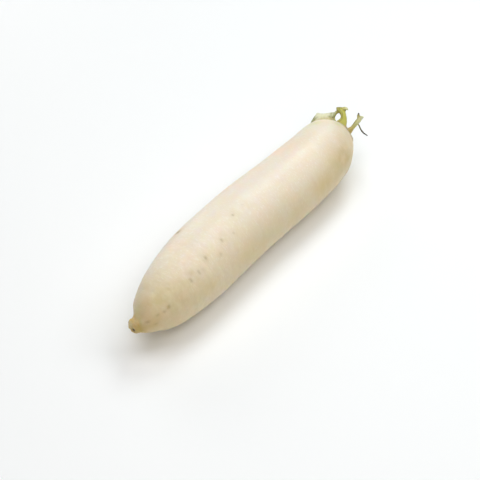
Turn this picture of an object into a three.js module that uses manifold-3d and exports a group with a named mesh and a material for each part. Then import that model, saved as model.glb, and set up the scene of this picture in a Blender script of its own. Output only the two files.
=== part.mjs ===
// A daikon radish, washed and with its leaves cut off: one swollen white root with its tail nub, and the stubs
// of the leaf stalks that stand round its crown. Millimetres, +Z up. The root lies along +X, its crown at +X.
import * as THREE from 'three';
import { mergeVertices } from 'three/addons/utils/BufferGeometryUtils.js';
import Module from 'manifold-3d';

const wasm = await Module();
wasm.setup();

// ---------------------------------------------------------------- driving dimensions (mm, degrees)

// The root's radius, by distance along it from the tip of the tail: [distance, radius].
const GIRTH = [
  [0, 3.5], [1.3, 4.6], [4.4, 5.2], [6.6, 6.8], [9.4, 9.7], [13.4, 12.8], [17.4, 15.2], [23, 17.6],
  [32, 20.4], [42, 22.6], [57, 24.8], [77, 26.4], [107, 26.5], [147, 26.4], [187, 26.1], [207, 25.7], [225, 24.8],
];
// How far its centre bows to the left of a straight line, looking from the tail.
const BOW = [
  [0, 3.3], [4, 2.8], [12, 1.2], [29, 0.7], [57, 2.1], [92, 3.5], [137, 2.4], [187, -0.7], [209, -1.6],
  [225, -0.7], [237, 1.8], [253, 6.3],
];
// Height of its centre. The belly is lowest, and flattened, under the weight.
const HEIGHT = [
  [0, 24.0], [8, 24.5], [18, 26.0], [41, 26.5], [77, 26.4], [110, 26.2], [150, 26.15], [187, 26.2], [225, 25.8],
  [253, 25.0],
];
const REST_HEIGHT = 0.2;      // everything lower than this is flattened to it, and it becomes height 0
// Where the sides round over to the crown's rim.
const SHOULDER = { start: 225, end: 251.4, rimRadius: 15.5, power: 1.62 };
const CROWN_DOME = 3;         // height of the crown's middle over its rim
const TAIL_CAP = { radius: 1.6, reach: 0.5 }; // the small blunt face that ends the tail
const SWELL = 0.22;           // how far the skin swells and sinks over the root

const SEAT_DEPTH = 2.4;       // how far each stalk is set into the crown
const SEAT_GAP = 0.3;         // clearance between a stalk and its seat

// Places on the crown are [out, right, up] from the middle of its rim, looking from the tail to the crown.
// A leaf stalk is a curled blade along a path. Its widths and thicknesses are spaced evenly from foot to cut
// end. "curl" is the arc that its section spans. "faces" is where its rounded back looks, as [right, up].
// "cut" tilts its cut end: mm along the stalk for each mm to its side, and for each mm to its back.
const TALL_STALKS = {
  stalk_left: {
    path: [[0.2, -9.8, 12.2], [4.6, -10.8, 12.8], [9.4, -10.2, 14.4]],
    width: [17.8, 19.2, 18.4], thick: [3.4, 2.6, 2.0], curl: 84, faces: [-0.6, 1], cut: [-0.05, -0.85],
  },
  stalk_middle: {
    path: [[0.4, 8.7, 12.5], [7, 8.1, 16.1], [13, 4.0, 17.8], [16, 3.7, 18.0]],
    width: [6.6, 5.0, 4.6, 7.0, 8.0], thick: [3.4, 2.6, 2.4, 2.4, 2.0], curl: 56, faces: [0.3, 1], cut: [0.1, -0.3],
  },
  stalk_right: {
    path: [[1, 14.6, 8.6], [4, 16.0, 9.9], [7.5, 17.9, 12.0], [12.6, 20.9, 16.2]],
    width: [5.4, 3.8, 3.6, 4.6], thick: [3.0, 2.4, 2.2, 1.8], curl: 50, faces: [1, 0.7], cut: [-0.35, 0],
  },
};
// A strip torn off the middle stalk that still joins it above and below, so that it stands as a loop.
const TORN_STRIP = {
  path: [
    [13.6, 1.6, 17.2], [11.6, 0.2, 15.9], [8.8, 0.1, 14.9], [5.6, 0.7, 14.0], [2.2, 3.0, 13.3], [0.6, 6.0, 12.9],
  ],
  width: [2.0, 1.5, 1.4, 1.4, 1.8, 2.4], thick: [1.4, 1.2, 1.1, 1.1, 1.3, 1.6], curl: 30, faces: [-0.3, 1],
  cut: [0, 0],
};
// The pointed, dried corner of the right stalk's cut end, and a fibre that has peeled off its side.
const DRIED_TIP = {
  path: [[10.4, 18.4, 14.6], [12.6, 18.3, 16.8], [14.2, 18.0, 18.1]],
  width: [1.8, 1.5, 0.8], thick: [1.4, 1.2, 0.8], curl: 30, faces: [1, 0.7], cut: [0, 0],
};
const FIBRE = {
  path: [[7.6, 18.0, 12.6], [9, 19.9, 9.9], [10.5, 21.8, 4.8], [11.5, 24.1, 1.6], [12, 26.9, -0.4]],
  width: [1.2, 0.9], thick: [1.1, 0.8], curl: 20, faces: [1, 0.7], cut: [0, 0],
};

// The short stalks, by angle round the crown from its top towards the right, and distance from its middle.
const OUTER_RING = {
  name: 'stalk_outer', distance: 14, angles: [99, 141, 182, 223, 262], heights: [4.4, 6.5, 8, 7, 6],
  widths: [7.5, 9, 9.4, 9, 8.4], thick: [3.4, 2.4], curl: 46, lean: 16,
};
const INNER_RING = {
  name: 'stalk_inner', distance: 8.4, angles: [-48, 18, 88, 160, 232], heights: [7, 6, 6.5, 5.4, 7],
  widths: [7, 6.4, 6.6, 6.2, 6.8], thick: [2.8, 1.9], curl: 70, lean: 5,
};
const BUD = {
  name: 'bud_leaf', distance: 2.4, angles: [62, 242], heights: [4.6, 3.6],
  widths: [4.2, 3.8], thick: [1.9, 1.3], curl: 110, lean: -4,
};
const SHORT_CUT = [0.08, -0.15];
const SHORT_TAPER = 0.94;     // width of a short stalk's cut end over its foot

const IVORY = 0xeee2c4;
const PALE_GREEN = 0xd5d9a4;
const OLIVE = 0xb9b456;

// How finely the solids are faceted.
const SECTORS = 44;           // points round the root
const SHOULDER_RINGS = 16;
const DOME_RINGS = 5;
const TALL_FACETS = { steps: 8, sides: 8 };
const SHORT_FACETS = { steps: 4, sides: 7 };
const STRIP_FACETS = { steps: 8, sides: 4 };
const SEAT_STEPS = 3;

// ---------------------------------------------------------------- helpers

const radians = (degrees) => degrees * Math.PI / 180;

// A smooth curve through a short table of [x, y] points that doesn't overshoot them.
function smooth(table) {
  const last = table.length - 1;
  const slope = [];
  for (let i = 0; i < last; i += 1) {
    slope.push((table[i + 1][1] - table[i][1]) / (table[i + 1][0] - table[i][0]));
  }
  const tangent = table.map((point, i) => {
    if (i === 0) return slope[0];
    if (i === last) return slope[last - 1];
    if (slope[i - 1] * slope[i] <= 0) return 0;
    const before = table[i][0] - table[i - 1][0];
    const after = table[i + 1][0] - table[i][0];
    const w1 = 2 * after + before;
    const w2 = after + 2 * before;
    return (w1 + w2) / (w1 / slope[i - 1] + w2 / slope[i]);
  });
  return (x) => {
    let i = 0;
    while (i < last - 1 && x > table[i + 1][0]) i += 1;
    const width = table[i + 1][0] - table[i][0];
    const t = THREE.MathUtils.clamp((x - table[i][0]) / width, 0, 1);
    const s = 1 - t;
    const line = (1 + 2 * t) * s * s * table[i][1] + t * t * (3 - 2 * t) * table[i + 1][1];
    return line + width * (t * s * s * tangent[i] - t * t * s * tangent[i + 1]);
  };
}

// A closed solid through rings of points. Every ring runs the same way round, and its points i and n-1-i face
// each other across the section, so that a ladder of triangles closes each end.
function loft(rings) {
  const count = rings[0].length;
  const positions = rings.flat().flatMap((p) => [p.x, p.y, p.z]);
  const index = [];
  for (let r = 0; r < rings.length - 1; r += 1) {
    for (let i = 0; i < count; i += 1) {
      const a = r * count + i;
      const b = r * count + (i + 1) % count;
      index.push(a, b, b + count, a, b + count, a + count);
    }
  }
  const end = (rings.length - 1) * count;
  for (let i = 0; i < count / 2 - 1; i += 1) {
    const [a, b, c, d] = [i, i + 1, count - 2 - i, count - 1 - i];
    index.push(a, c, b, a, d, c);
    index.push(end + a, end + b, end + c, end + a, end + c, end + d);
  }
  const geometry = new THREE.BufferGeometry();
  geometry.setAttribute('position', new THREE.Float32BufferAttribute(positions, 3));
  geometry.setIndex(index.filter((_, i) => {
    const [a, b, c] = index.slice(i - i % 3, i - i % 3 + 3);
    return a !== b && b !== c && a !== c;
  }));
  return geometry;
}

function toManifold(geometry) {
  const merged = mergeVertices(geometry, 1e-4);
  return new wasm.Manifold(new wasm.Mesh({
    numProp: 3,
    vertProperties: new Float32Array(merged.attributes.position.array),
    triVerts: new Uint32Array(merged.index.array),
  }));
}

function toGeometry(manifold) {
  const mesh = manifold.getMesh();
  const geometry = new THREE.BufferGeometry();
  geometry.setAttribute('position', new THREE.Float32BufferAttribute(mesh.vertProperties, 3));
  geometry.setIndex(new THREE.Uint32BufferAttribute(mesh.triVerts, 1));
  return geometry;
}

// ---------------------------------------------------------------- the root

const girth = smooth(GIRTH);
const bow = smooth(BOW);
const height = smooth(HEIGHT);

const centre = (place) => new THREE.Vector3(place, bow(place), height(place));

// Which way the centre line runs at a place along the root, towards the crown.
function heading(place) {
  const reach = 3;
  return centre(Math.min(place + reach, SHOULDER.end)).sub(centre(Math.max(place - reach, 0))).normalize();
}

// The two directions across a heading: up, and to the right of someone looking along it.
function across(direction) {
  const right = new THREE.Vector3().crossVectors(direction, new THREE.Vector3(0, 0, 1)).normalize();
  const up = new THREE.Vector3().crossVectors(right, direction);
  return { up, right };
}

// Share of the shoulder's full width that is left at a share t of its length.
const roundOver = (t) => Math.max(0, 1 - t ** SHOULDER.power) ** (1 / SHOULDER.power);

function radius(place) {
  if (place <= SHOULDER.start) return girth(place);
  const full = girth(SHOULDER.start);
  const t = (place - SHOULDER.start) / (SHOULDER.end - SHOULDER.start);
  return SHOULDER.rimRadius + (full - SHOULDER.rimRadius) * roundOver(t);
}

// The slow unevenness of the skin, which dies away towards both ends.
function swell(place, angle) {
  const fade = Math.min(1, place / 60, Math.max(0, SHOULDER.end - place) / 40);
  return SWELL * fade * (Math.sin(place / 14 + 1.6 * Math.sin(angle)) + Math.sin(2 * angle + place / 33));
}

function ring(middle, direction, radiusAt) {
  const { up, right } = across(direction);
  return Array.from({ length: SECTORS }, (_, i) => {
    const angle = 2 * Math.PI * (i + 0.5) / SECTORS;
    const size = radiusAt(angle);
    return middle.clone()
      .addScaledVector(right, size * Math.sin(angle))
      .addScaledVector(up, size * Math.cos(angle));
  });
}

// Places along the root where it has a ring of points: close together where its radius changes quickly.
function ringPlaces() {
  const places = [];
  for (let x = 0; x < 8; x += 1.3) places.push(x);
  for (let x = 8; x < 32; x += 2) places.push(x);
  for (let x = 32; x < SHOULDER.start - 3; x += 6.4) places.push(x);
  for (let i = 0; i <= SHOULDER_RINGS; i += 1) {
    const t = Math.sin(i / SHOULDER_RINGS * Math.PI / 2);
    places.push(THREE.MathUtils.lerp(SHOULDER.start, SHOULDER.end, t));
  }
  return places;
}

const CROWN = { middle: centre(SHOULDER.end), out: heading(SHOULDER.end) };
Object.assign(CROWN, across(CROWN.out));

function rootRings() {
  const tail = centre(0).addScaledVector(heading(0), -TAIL_CAP.reach);
  const rings = [ring(tail, heading(0), () => TAIL_CAP.radius)];
  for (const place of ringPlaces()) {
    rings.push(ring(centre(place), heading(place), (angle) => radius(place) + swell(place, angle)));
  }
  for (let i = 1; i <= DOME_RINGS; i += 1) {
    const t = i / (DOME_RINGS + 0.3) * Math.PI / 2;
    const middle = CROWN.middle.clone().addScaledVector(CROWN.out, CROWN_DOME * Math.sin(t));
    rings.push(ring(middle, CROWN.out, () => SHOULDER.rimRadius * Math.cos(t)));
  }
  for (const point of rings.flat()) point.z = Math.max(point.z, REST_HEIGHT);
  return rings;
}

// How far the crown's skin stands out from the plane of its rim, at a distance from its middle.
const crownHeight = (distance) => CROWN_DOME * Math.sqrt(1 - Math.min(1, distance / SHOULDER.rimRadius) ** 2);

// ---------------------------------------------------------------- the leaf stalks

const onCrown = ([out, right, up]) => CROWN.middle.clone()
  .addScaledVector(CROWN.out, out)
  .addScaledVector(CROWN.right, right)
  .addScaledVector(CROWN.up, up);

// The value at a share t of a stalk's length, from values spaced evenly along it.
function along(values, t) {
  const place = t * (values.length - 1);
  const i = Math.min(Math.floor(place), values.length - 2);
  return THREE.MathUtils.lerp(values[i], values[i + 1], place - i);
}

// Rings of a stalk. "grow" makes every section larger all round, and "sink" lengthens its foot into the crown.
function stalkRings(stalk, grow, sink, { steps, sides }) {
  const points = stalk.path.map(onCrown);
  const foot = points[0].clone().sub(points[1]).normalize().multiplyScalar(sink);
  const curve = new THREE.CatmullRomCurve3(points, false, 'centripetal');
  const back = new THREE.Vector3()
    .addScaledVector(CROWN.right, stalk.faces[0])
    .addScaledVector(CROWN.up, stalk.faces[1])
    .normalize();
  const half = radians(stalk.curl) / 2;
  const edge = 0.8;           // how much thinner the blade is at its two edges
  const turns = Array.from({ length: sides }, (_, i) => half * (2 * i / (sides - 1) - 1));
  const rings = [];
  for (let step = sink > 0 ? -1 : 0; step <= steps; step += 1) {
    const t = Math.max(0, step / steps);
    const middle = curve.getPointAt(t);
    if (step < 0) middle.add(foot);
    const axis = curve.getTangentAt(t);
    const outward = back.clone().addScaledVector(axis, -back.dot(axis)).normalize();
    const side = new THREE.Vector3().crossVectors(axis, outward);
    const arc = along(stalk.width, t) / 2 / Math.sin(half);
    const thick = along(stalk.thick, t);
    const stretch = 1 + grow / (arc * half);
    const layer = (sign, turn) => {
      const round = Math.sqrt(1 - edge * (turn / half) ** 2);
      const reach = arc + sign * (thick / 2 * round + grow);
      const x = reach * Math.sin(turn * stretch);
      const y = reach * Math.cos(turn * stretch) - arc;
      const tilt = (stalk.cut[0] * x + stalk.cut[1] * y) * t ** 3;
      return middle.clone().addScaledVector(side, x).addScaledVector(outward, y).addScaledVector(axis, tilt);
    };
    rings.push([...turns.map((turn) => layer(1, turn)), ...turns.map((turn) => layer(-1, -turn))]);
  }
  return rings;
}

const solid = (stalk, grow, sink, facets) => toManifold(loft(stalkRings(stalk, grow, sink, facets)));

// The stalks of one ring, each with its name, written like the tall ones.
function ringStalks({ name, distance, angles, heights, widths, thick, curl, lean }) {
  return angles.map((angle, i) => {
    const away = [Math.sin(radians(angle)), Math.cos(radians(angle))];
    const path = [0, 0.5, 1].map((t) => {
      const from = distance + heights[i] * t * Math.tan(radians(lean));
      return [crownHeight(distance) + heights[i] * t, from * away[0], from * away[1]];
    });
    const width = [widths[i], widths[i] * SHORT_TAPER];
    return [`${name}_${i + 1}`, { path, width, thick, curl, faces: away, cut: SHORT_CUT }];
  });
}

// ---------------------------------------------------------------- the whole

// What is torn from a stalk is one piece with it.
const GROWN_ON = { stalk_middle: [TORN_STRIP], stalk_right: [DRIED_TIP, FIBRE] };

const group = new THREE.Group();

function addMesh(name, manifold, color, roughness) {
  const mesh = new THREE.Mesh(toGeometry(manifold), new THREE.MeshStandardMaterial({ color, roughness }));
  mesh.name = name;
  group.add(mesh);
}

let rootSolid = toManifold(loft(rootRings()));

// Stands a stalk in the crown: cuts its seat in the root and adds its mesh.
function plant(name, stalk, facets, color) {
  const seat = { ...facets, steps: SEAT_STEPS };
  rootSolid = rootSolid.subtract(solid(stalk, SEAT_GAP, SEAT_DEPTH + SEAT_GAP, seat));
  let whole = solid(stalk, 0, SEAT_DEPTH, facets);
  for (const piece of GROWN_ON[name] ?? []) {
    rootSolid = rootSolid.subtract(solid(piece, SEAT_GAP, 0, STRIP_FACETS));
    whole = whole.add(solid(piece, 0, 0, STRIP_FACETS));
  }
  addMesh(name, whole, color, 0.55);
}

for (const [name, stalk] of Object.entries(TALL_STALKS)) plant(name, stalk, TALL_FACETS, OLIVE);
for (const [name, stalk] of [OUTER_RING, INNER_RING, BUD].flatMap(ringStalks)) {
  plant(name, stalk, SHORT_FACETS, PALE_GREEN);
}
addMesh('root', rootSolid, IVORY, 0.45);

// The origin is under the middle of the whole, on the surface that the root lies on.
const box = new THREE.Box3().setFromObject(group, true);
const middle = box.getCenter(new THREE.Vector3());
group.position.set(-middle.x, -middle.y, -box.min.z);
group.updateMatrixWorld(true);

export default group;
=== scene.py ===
"""The finished look of a daikon radish that lies on its side, with its leaves cut off short.

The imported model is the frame. Each piece is a finer mesh that stands for one of the frame's nodes: the
root's skin, with its growth rings, scars and dried tail, and the stubs of the leaf stalks that stand round
its crown. Shapes are worked out in millimetres in the root's own space, where X runs along it from the tip
of the tail, Y is the side that it bows to and Z is up. The corners of the frame's root say where that space
stands.
"""

import logging
import math
from dataclasses import dataclass, field
from enum import Enum
from typing import Callable, Sequence

import bpy
import numpy as np
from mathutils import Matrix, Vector, noise
from mathutils.kdtree import KDTree


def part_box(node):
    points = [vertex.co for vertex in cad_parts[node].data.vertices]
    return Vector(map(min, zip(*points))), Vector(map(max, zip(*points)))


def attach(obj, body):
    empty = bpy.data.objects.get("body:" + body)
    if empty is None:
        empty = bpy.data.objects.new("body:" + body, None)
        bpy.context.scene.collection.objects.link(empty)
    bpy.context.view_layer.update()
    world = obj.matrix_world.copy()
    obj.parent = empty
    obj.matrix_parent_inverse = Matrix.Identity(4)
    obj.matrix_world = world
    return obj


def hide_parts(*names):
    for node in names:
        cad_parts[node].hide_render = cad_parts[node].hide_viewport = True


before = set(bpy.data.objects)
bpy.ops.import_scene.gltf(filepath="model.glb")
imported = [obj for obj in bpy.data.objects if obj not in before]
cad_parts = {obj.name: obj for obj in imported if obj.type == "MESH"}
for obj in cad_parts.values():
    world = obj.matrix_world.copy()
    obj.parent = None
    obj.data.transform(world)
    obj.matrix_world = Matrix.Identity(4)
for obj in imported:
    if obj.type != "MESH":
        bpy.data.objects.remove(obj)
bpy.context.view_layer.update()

log = logging.getLogger("daikon")

MM = 0.001  # metres in a millimetre
NOISE_GAIN = 1.6  # brings the noise's values to about -1 to 1
Array = np.ndarray
Table = Sequence[tuple[float, float]]
Curve = Callable[[Array], Array]
Colour = tuple[float, float, float]
Masks = dict[str, Array]


# ---------------------------------------------------------------- shared helpers


def smooth(table: Table) -> Curve:
    """Draws a smooth curve through a short table of points, which never overshoots them.

    Args:
        table: (x, y) points in order of x.

    Returns:
        A function from an array of x to the curve's y.
    """
    x, y = np.array(table, float).T
    width = np.diff(x)
    slope = np.diff(y) / width
    tangent = np.empty_like(y)
    tangent[0], tangent[-1] = slope[0], slope[-1]
    before = 2 * width[1:] + width[:-1]
    after = width[1:] + 2 * width[:-1]
    turning = slope[:-1] * slope[1:] <= 0
    safe = np.where(slope == 0, 1, slope)
    mean = (before + after) / (before / safe[:-1] + after / safe[1:])
    tangent[1:-1] = np.where(turning, 0, mean)

    def curve(at: Array) -> Array:
        """Reads the curve.

        Args:
            at: Each x.

        Returns:
            The curve's y there, which stays the same beyond its two ends.
        """
        i = np.clip(np.searchsorted(x, at) - 1, 0, len(width) - 1)
        t = np.clip((at - x[i]) / width[i], 0, 1)
        s = 1 - t
        line = (1 + 2 * t) * s * s * y[i] + t * t * (3 - 2 * t) * y[i + 1]
        return line + width[i] * (t * s * s * tangent[i] - t * t * s * tangent[i + 1])

    return curve


def unit(vectors: Array) -> Array:
    """The same directions, each of length 1."""
    return vectors / np.linalg.norm(vectors, axis=-1, keepdims=True)


def unevenness(points: Array, size: Sequence[float], seed: float) -> Array:
    """Smooth random values, about -1 to 1.

    Args:
        points: Places, in millimetres, with three numbers each.
        size: How far apart the highs and lows are in each of the three directions, in millimetres.
        seed: Any number. Another one gives another pattern.

    Returns:
        One value for each point.
    """
    flat = (points / np.array(size, float) + seed).reshape(-1, 3)
    values = np.fromiter((noise.noise(p) for p in flat.tolist()), float, len(flat))
    return NOISE_GAIN * values.reshape(points.shape[:-1])


@dataclass(frozen=True)
class Waves:
    """Smooth random relief: its height, how far apart its highs are in each direction, and its seed."""

    height: float
    size: tuple[float, float, float]
    seed: float

    def over(self, points: Array) -> Array:
        """The relief at each point, in millimetres."""
        return self.height * unevenness(points, self.size, self.seed)


def bump(distance: Array, reach: float) -> Array:
    """A rounded hump, 1 at no distance and nearly 0 beyond twice the reach."""
    return np.exp(-((distance / reach) ** 2))


def ramp(values: Array, low: float, high: float) -> Array:
    """0 below low, 1 above high, and a smooth slope between them."""
    t = np.clip((values - low) / (high - low), 0, 1)
    return t * t * (3 - 2 * t)


def turn_between(angle: Array, degrees: float) -> Array:
    """How far each angle is from one given in degrees, the short way round, in radians."""
    return (angle - math.radians(degrees) + math.pi) % (2 * math.pi) - math.pi


def set_masks(mesh: bpy.types.Mesh, masks: Masks) -> None:
    """Stores values for each vertex of a mesh, by attribute name: one number each, or three.

    Args:
        mesh: The mesh.
        masks: The values.
    """
    for key, values in masks.items():
        old = mesh.attributes.get(key)
        if old:
            mesh.attributes.remove(old)
        kind = "FLOAT_VECTOR" if values.ndim == 2 else "FLOAT"
        field_name = "vector" if values.ndim == 2 else "value"
        layer = mesh.attributes.new(key, kind, "POINT")
        layer.data.foreach_set(field_name, np.ascontiguousarray(values, np.float32).ravel())


def make_piece(
    name: str, points: Array, faces: list, masks: Masks, origin: Array
) -> bpy.types.Object:
    """Makes a smooth-shaded mesh object.

    Args:
        name: The piece's name.
        points: Its vertices in the root's space, in millimetres.
        faces: Its faces, as lists of vertex numbers.
        masks: Values for each vertex, by attribute name: one number each, or three.
        origin: The frame's origin in the root's space, in millimetres.

    Returns:
        The object, linked to the scene.
    """
    mesh = bpy.data.meshes.new(name)
    mesh.from_pydata(((points - origin) * MM).tolist(), [], faces)
    set_masks(mesh, masks)
    mesh.validate()
    mesh.shade_smooth()
    piece = bpy.data.objects.new(name, mesh)
    bpy.context.scene.collection.objects.link(piece)
    return piece


# ---------------------------------------------------------------- the root's form


@dataclass
class RootForm:
    """The plain form of the root: a round section swept along a bowed line, rounded over to the crown.

    The tables give the radius of its section, how far its middle lies to the side and how high it lies, by
    place along the root.
    """

    girth: Table = (
        (0, 3.5), (1.3, 4.6), (4.4, 5.2), (6.6, 6.8), (9.4, 9.7), (13.4, 12.8), (17.4, 15.2), (23, 17.6),
        (32, 20.4), (42, 22.6), (57, 24.8), (77, 26.4), (107, 26.5), (147, 26.4), (187, 26.1), (207, 25.7),
        (225, 24.8),
    )
    bow: Table = (
        (0, 3.3), (4, 2.8), (12, 1.2), (29, 0.7), (57, 2.1), (92, 3.5), (137, 2.4), (187, -0.7),
        (209, -1.6), (225, -0.7), (237, 1.8), (253, 6.3),
    )
    height: Table = (
        (0, 24.0), (8, 24.5), (18, 26.0), (41, 26.5), (77, 26.4), (110, 26.2), (150, 26.15), (187, 26.2),
        (225, 25.8), (253, 25.0),
    )
    shoulder_start: float = 225
    shoulder_end: float = 251.4
    rim_radius: float = 15.5
    shoulder_power: float = 1.62
    crown_dome: float = 3
    tail_cap: float = 0.55
    swell_height: float = 0.22
    swell_fades: tuple[float, float] = (60, 40)  # how far in from the tail and the crown it is at its full
    swell_waves: tuple[float, float] = (14, 33)  # how far along the root its two waves take for a radian
    swell_lean: float = 1.6  # how much the first wave leans round the root
    rest_height: float = 0.2
    heading_reach: float = 3.0  # how far before and after a place its heading is measured
    _girth: Curve = field(init=False)
    _bow: Curve = field(init=False)
    _height: Curve = field(init=False)

    def __post_init__(self) -> None:
        """Draws the smooth curves once."""
        self._girth = smooth(self.girth)
        self._bow = smooth(self.bow)
        self._height = smooth(self.height)

    def centre(self, place: Array) -> Array:
        """The middle of the root's section at a place along it."""
        return np.stack([place, self._bow(place), self._height(place)], -1)

    def heading(self, place: Array) -> Array:
        """Which way the centre line runs at a place, towards the crown."""
        ahead = self.centre(np.minimum(place + self.heading_reach, self.shoulder_end))
        return unit(ahead - self.centre(np.maximum(place - self.heading_reach, 0.0)))

    @staticmethod
    def across(direction: Array) -> tuple[Array, Array]:
        """The two directions across a heading: to the right of someone looking along it, and up."""
        right = unit(np.cross(direction, np.array([0.0, 0.0, 1.0])))
        return right, np.cross(right, direction)

    def radius(self, place: Array) -> Array:
        """The section's radius at a place along the root.

        Args:
            place: Millimetres from the tip of the tail.

        Returns:
            The radius at each place.
        """
        length = self.shoulder_end - self.shoulder_start
        t = np.clip((place - self.shoulder_start) / length, 0, 1)
        full = self._girth(np.float64(self.shoulder_start))
        left = np.maximum(0, 1 - t**self.shoulder_power) ** (1 / self.shoulder_power)
        rounded = self.rim_radius + (full - self.rim_radius) * left
        return np.where(place <= self.shoulder_start, self._girth(place), rounded)

    def swell(self, place: Array, angle: Array) -> Array:
        """The slow unevenness of the root, which dies away towards both ends.

        Args:
            place: Places along the root.
            angle: Angles round it, in radians.

        Returns:
            How far each point stands out.
        """
        tail_fade, crown_fade = self.swell_fades
        first, second = self.swell_waves
        to_crown = np.maximum(0, self.shoulder_end - place) / crown_fade
        fade = np.minimum(1, np.minimum(np.maximum(0, place) / tail_fade, to_crown))
        waves = np.sin(place / first + self.swell_lean * np.sin(angle)) + np.sin(2 * angle + place / second)
        return self.swell_height * fade * waves

    def crown_height(self, distance: float) -> float:
        """How far the crown stands out from the plane of its rim, at a distance from its middle."""
        return self.crown_dome * math.sqrt(1 - min(1.0, distance / self.rim_radius) ** 2)

    def crown_axes(self) -> tuple[Array, Array]:
        """The middle of the crown's rim, and the directions out, right and up from it."""
        end = np.float64(self.shoulder_end)
        out = self.heading(end)
        return self.centre(end), np.stack([out, *self.across(out)])

    def on_crown(self, places: Array) -> Array:
        """Turns places on the crown, [out, right, up] from the middle of its rim, into the root's space."""
        middle, axes = self.crown_axes()
        return middle + places @ axes

    def from_crown(self, points: Array) -> Array:
        """Turns points of the root's space into places on the crown, the other way round."""
        middle, axes = self.crown_axes()
        return (points - middle) @ axes.T


# ---------------------------------------------------------------- the leaf stalks


class Slot(Enum):
    """The finishes of the record, by name."""

    SKIN = "root_skin"
    PALE = "stalk_pale"
    OLIVE = "stalk_olive"
    BUD = "bud_green"


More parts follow.
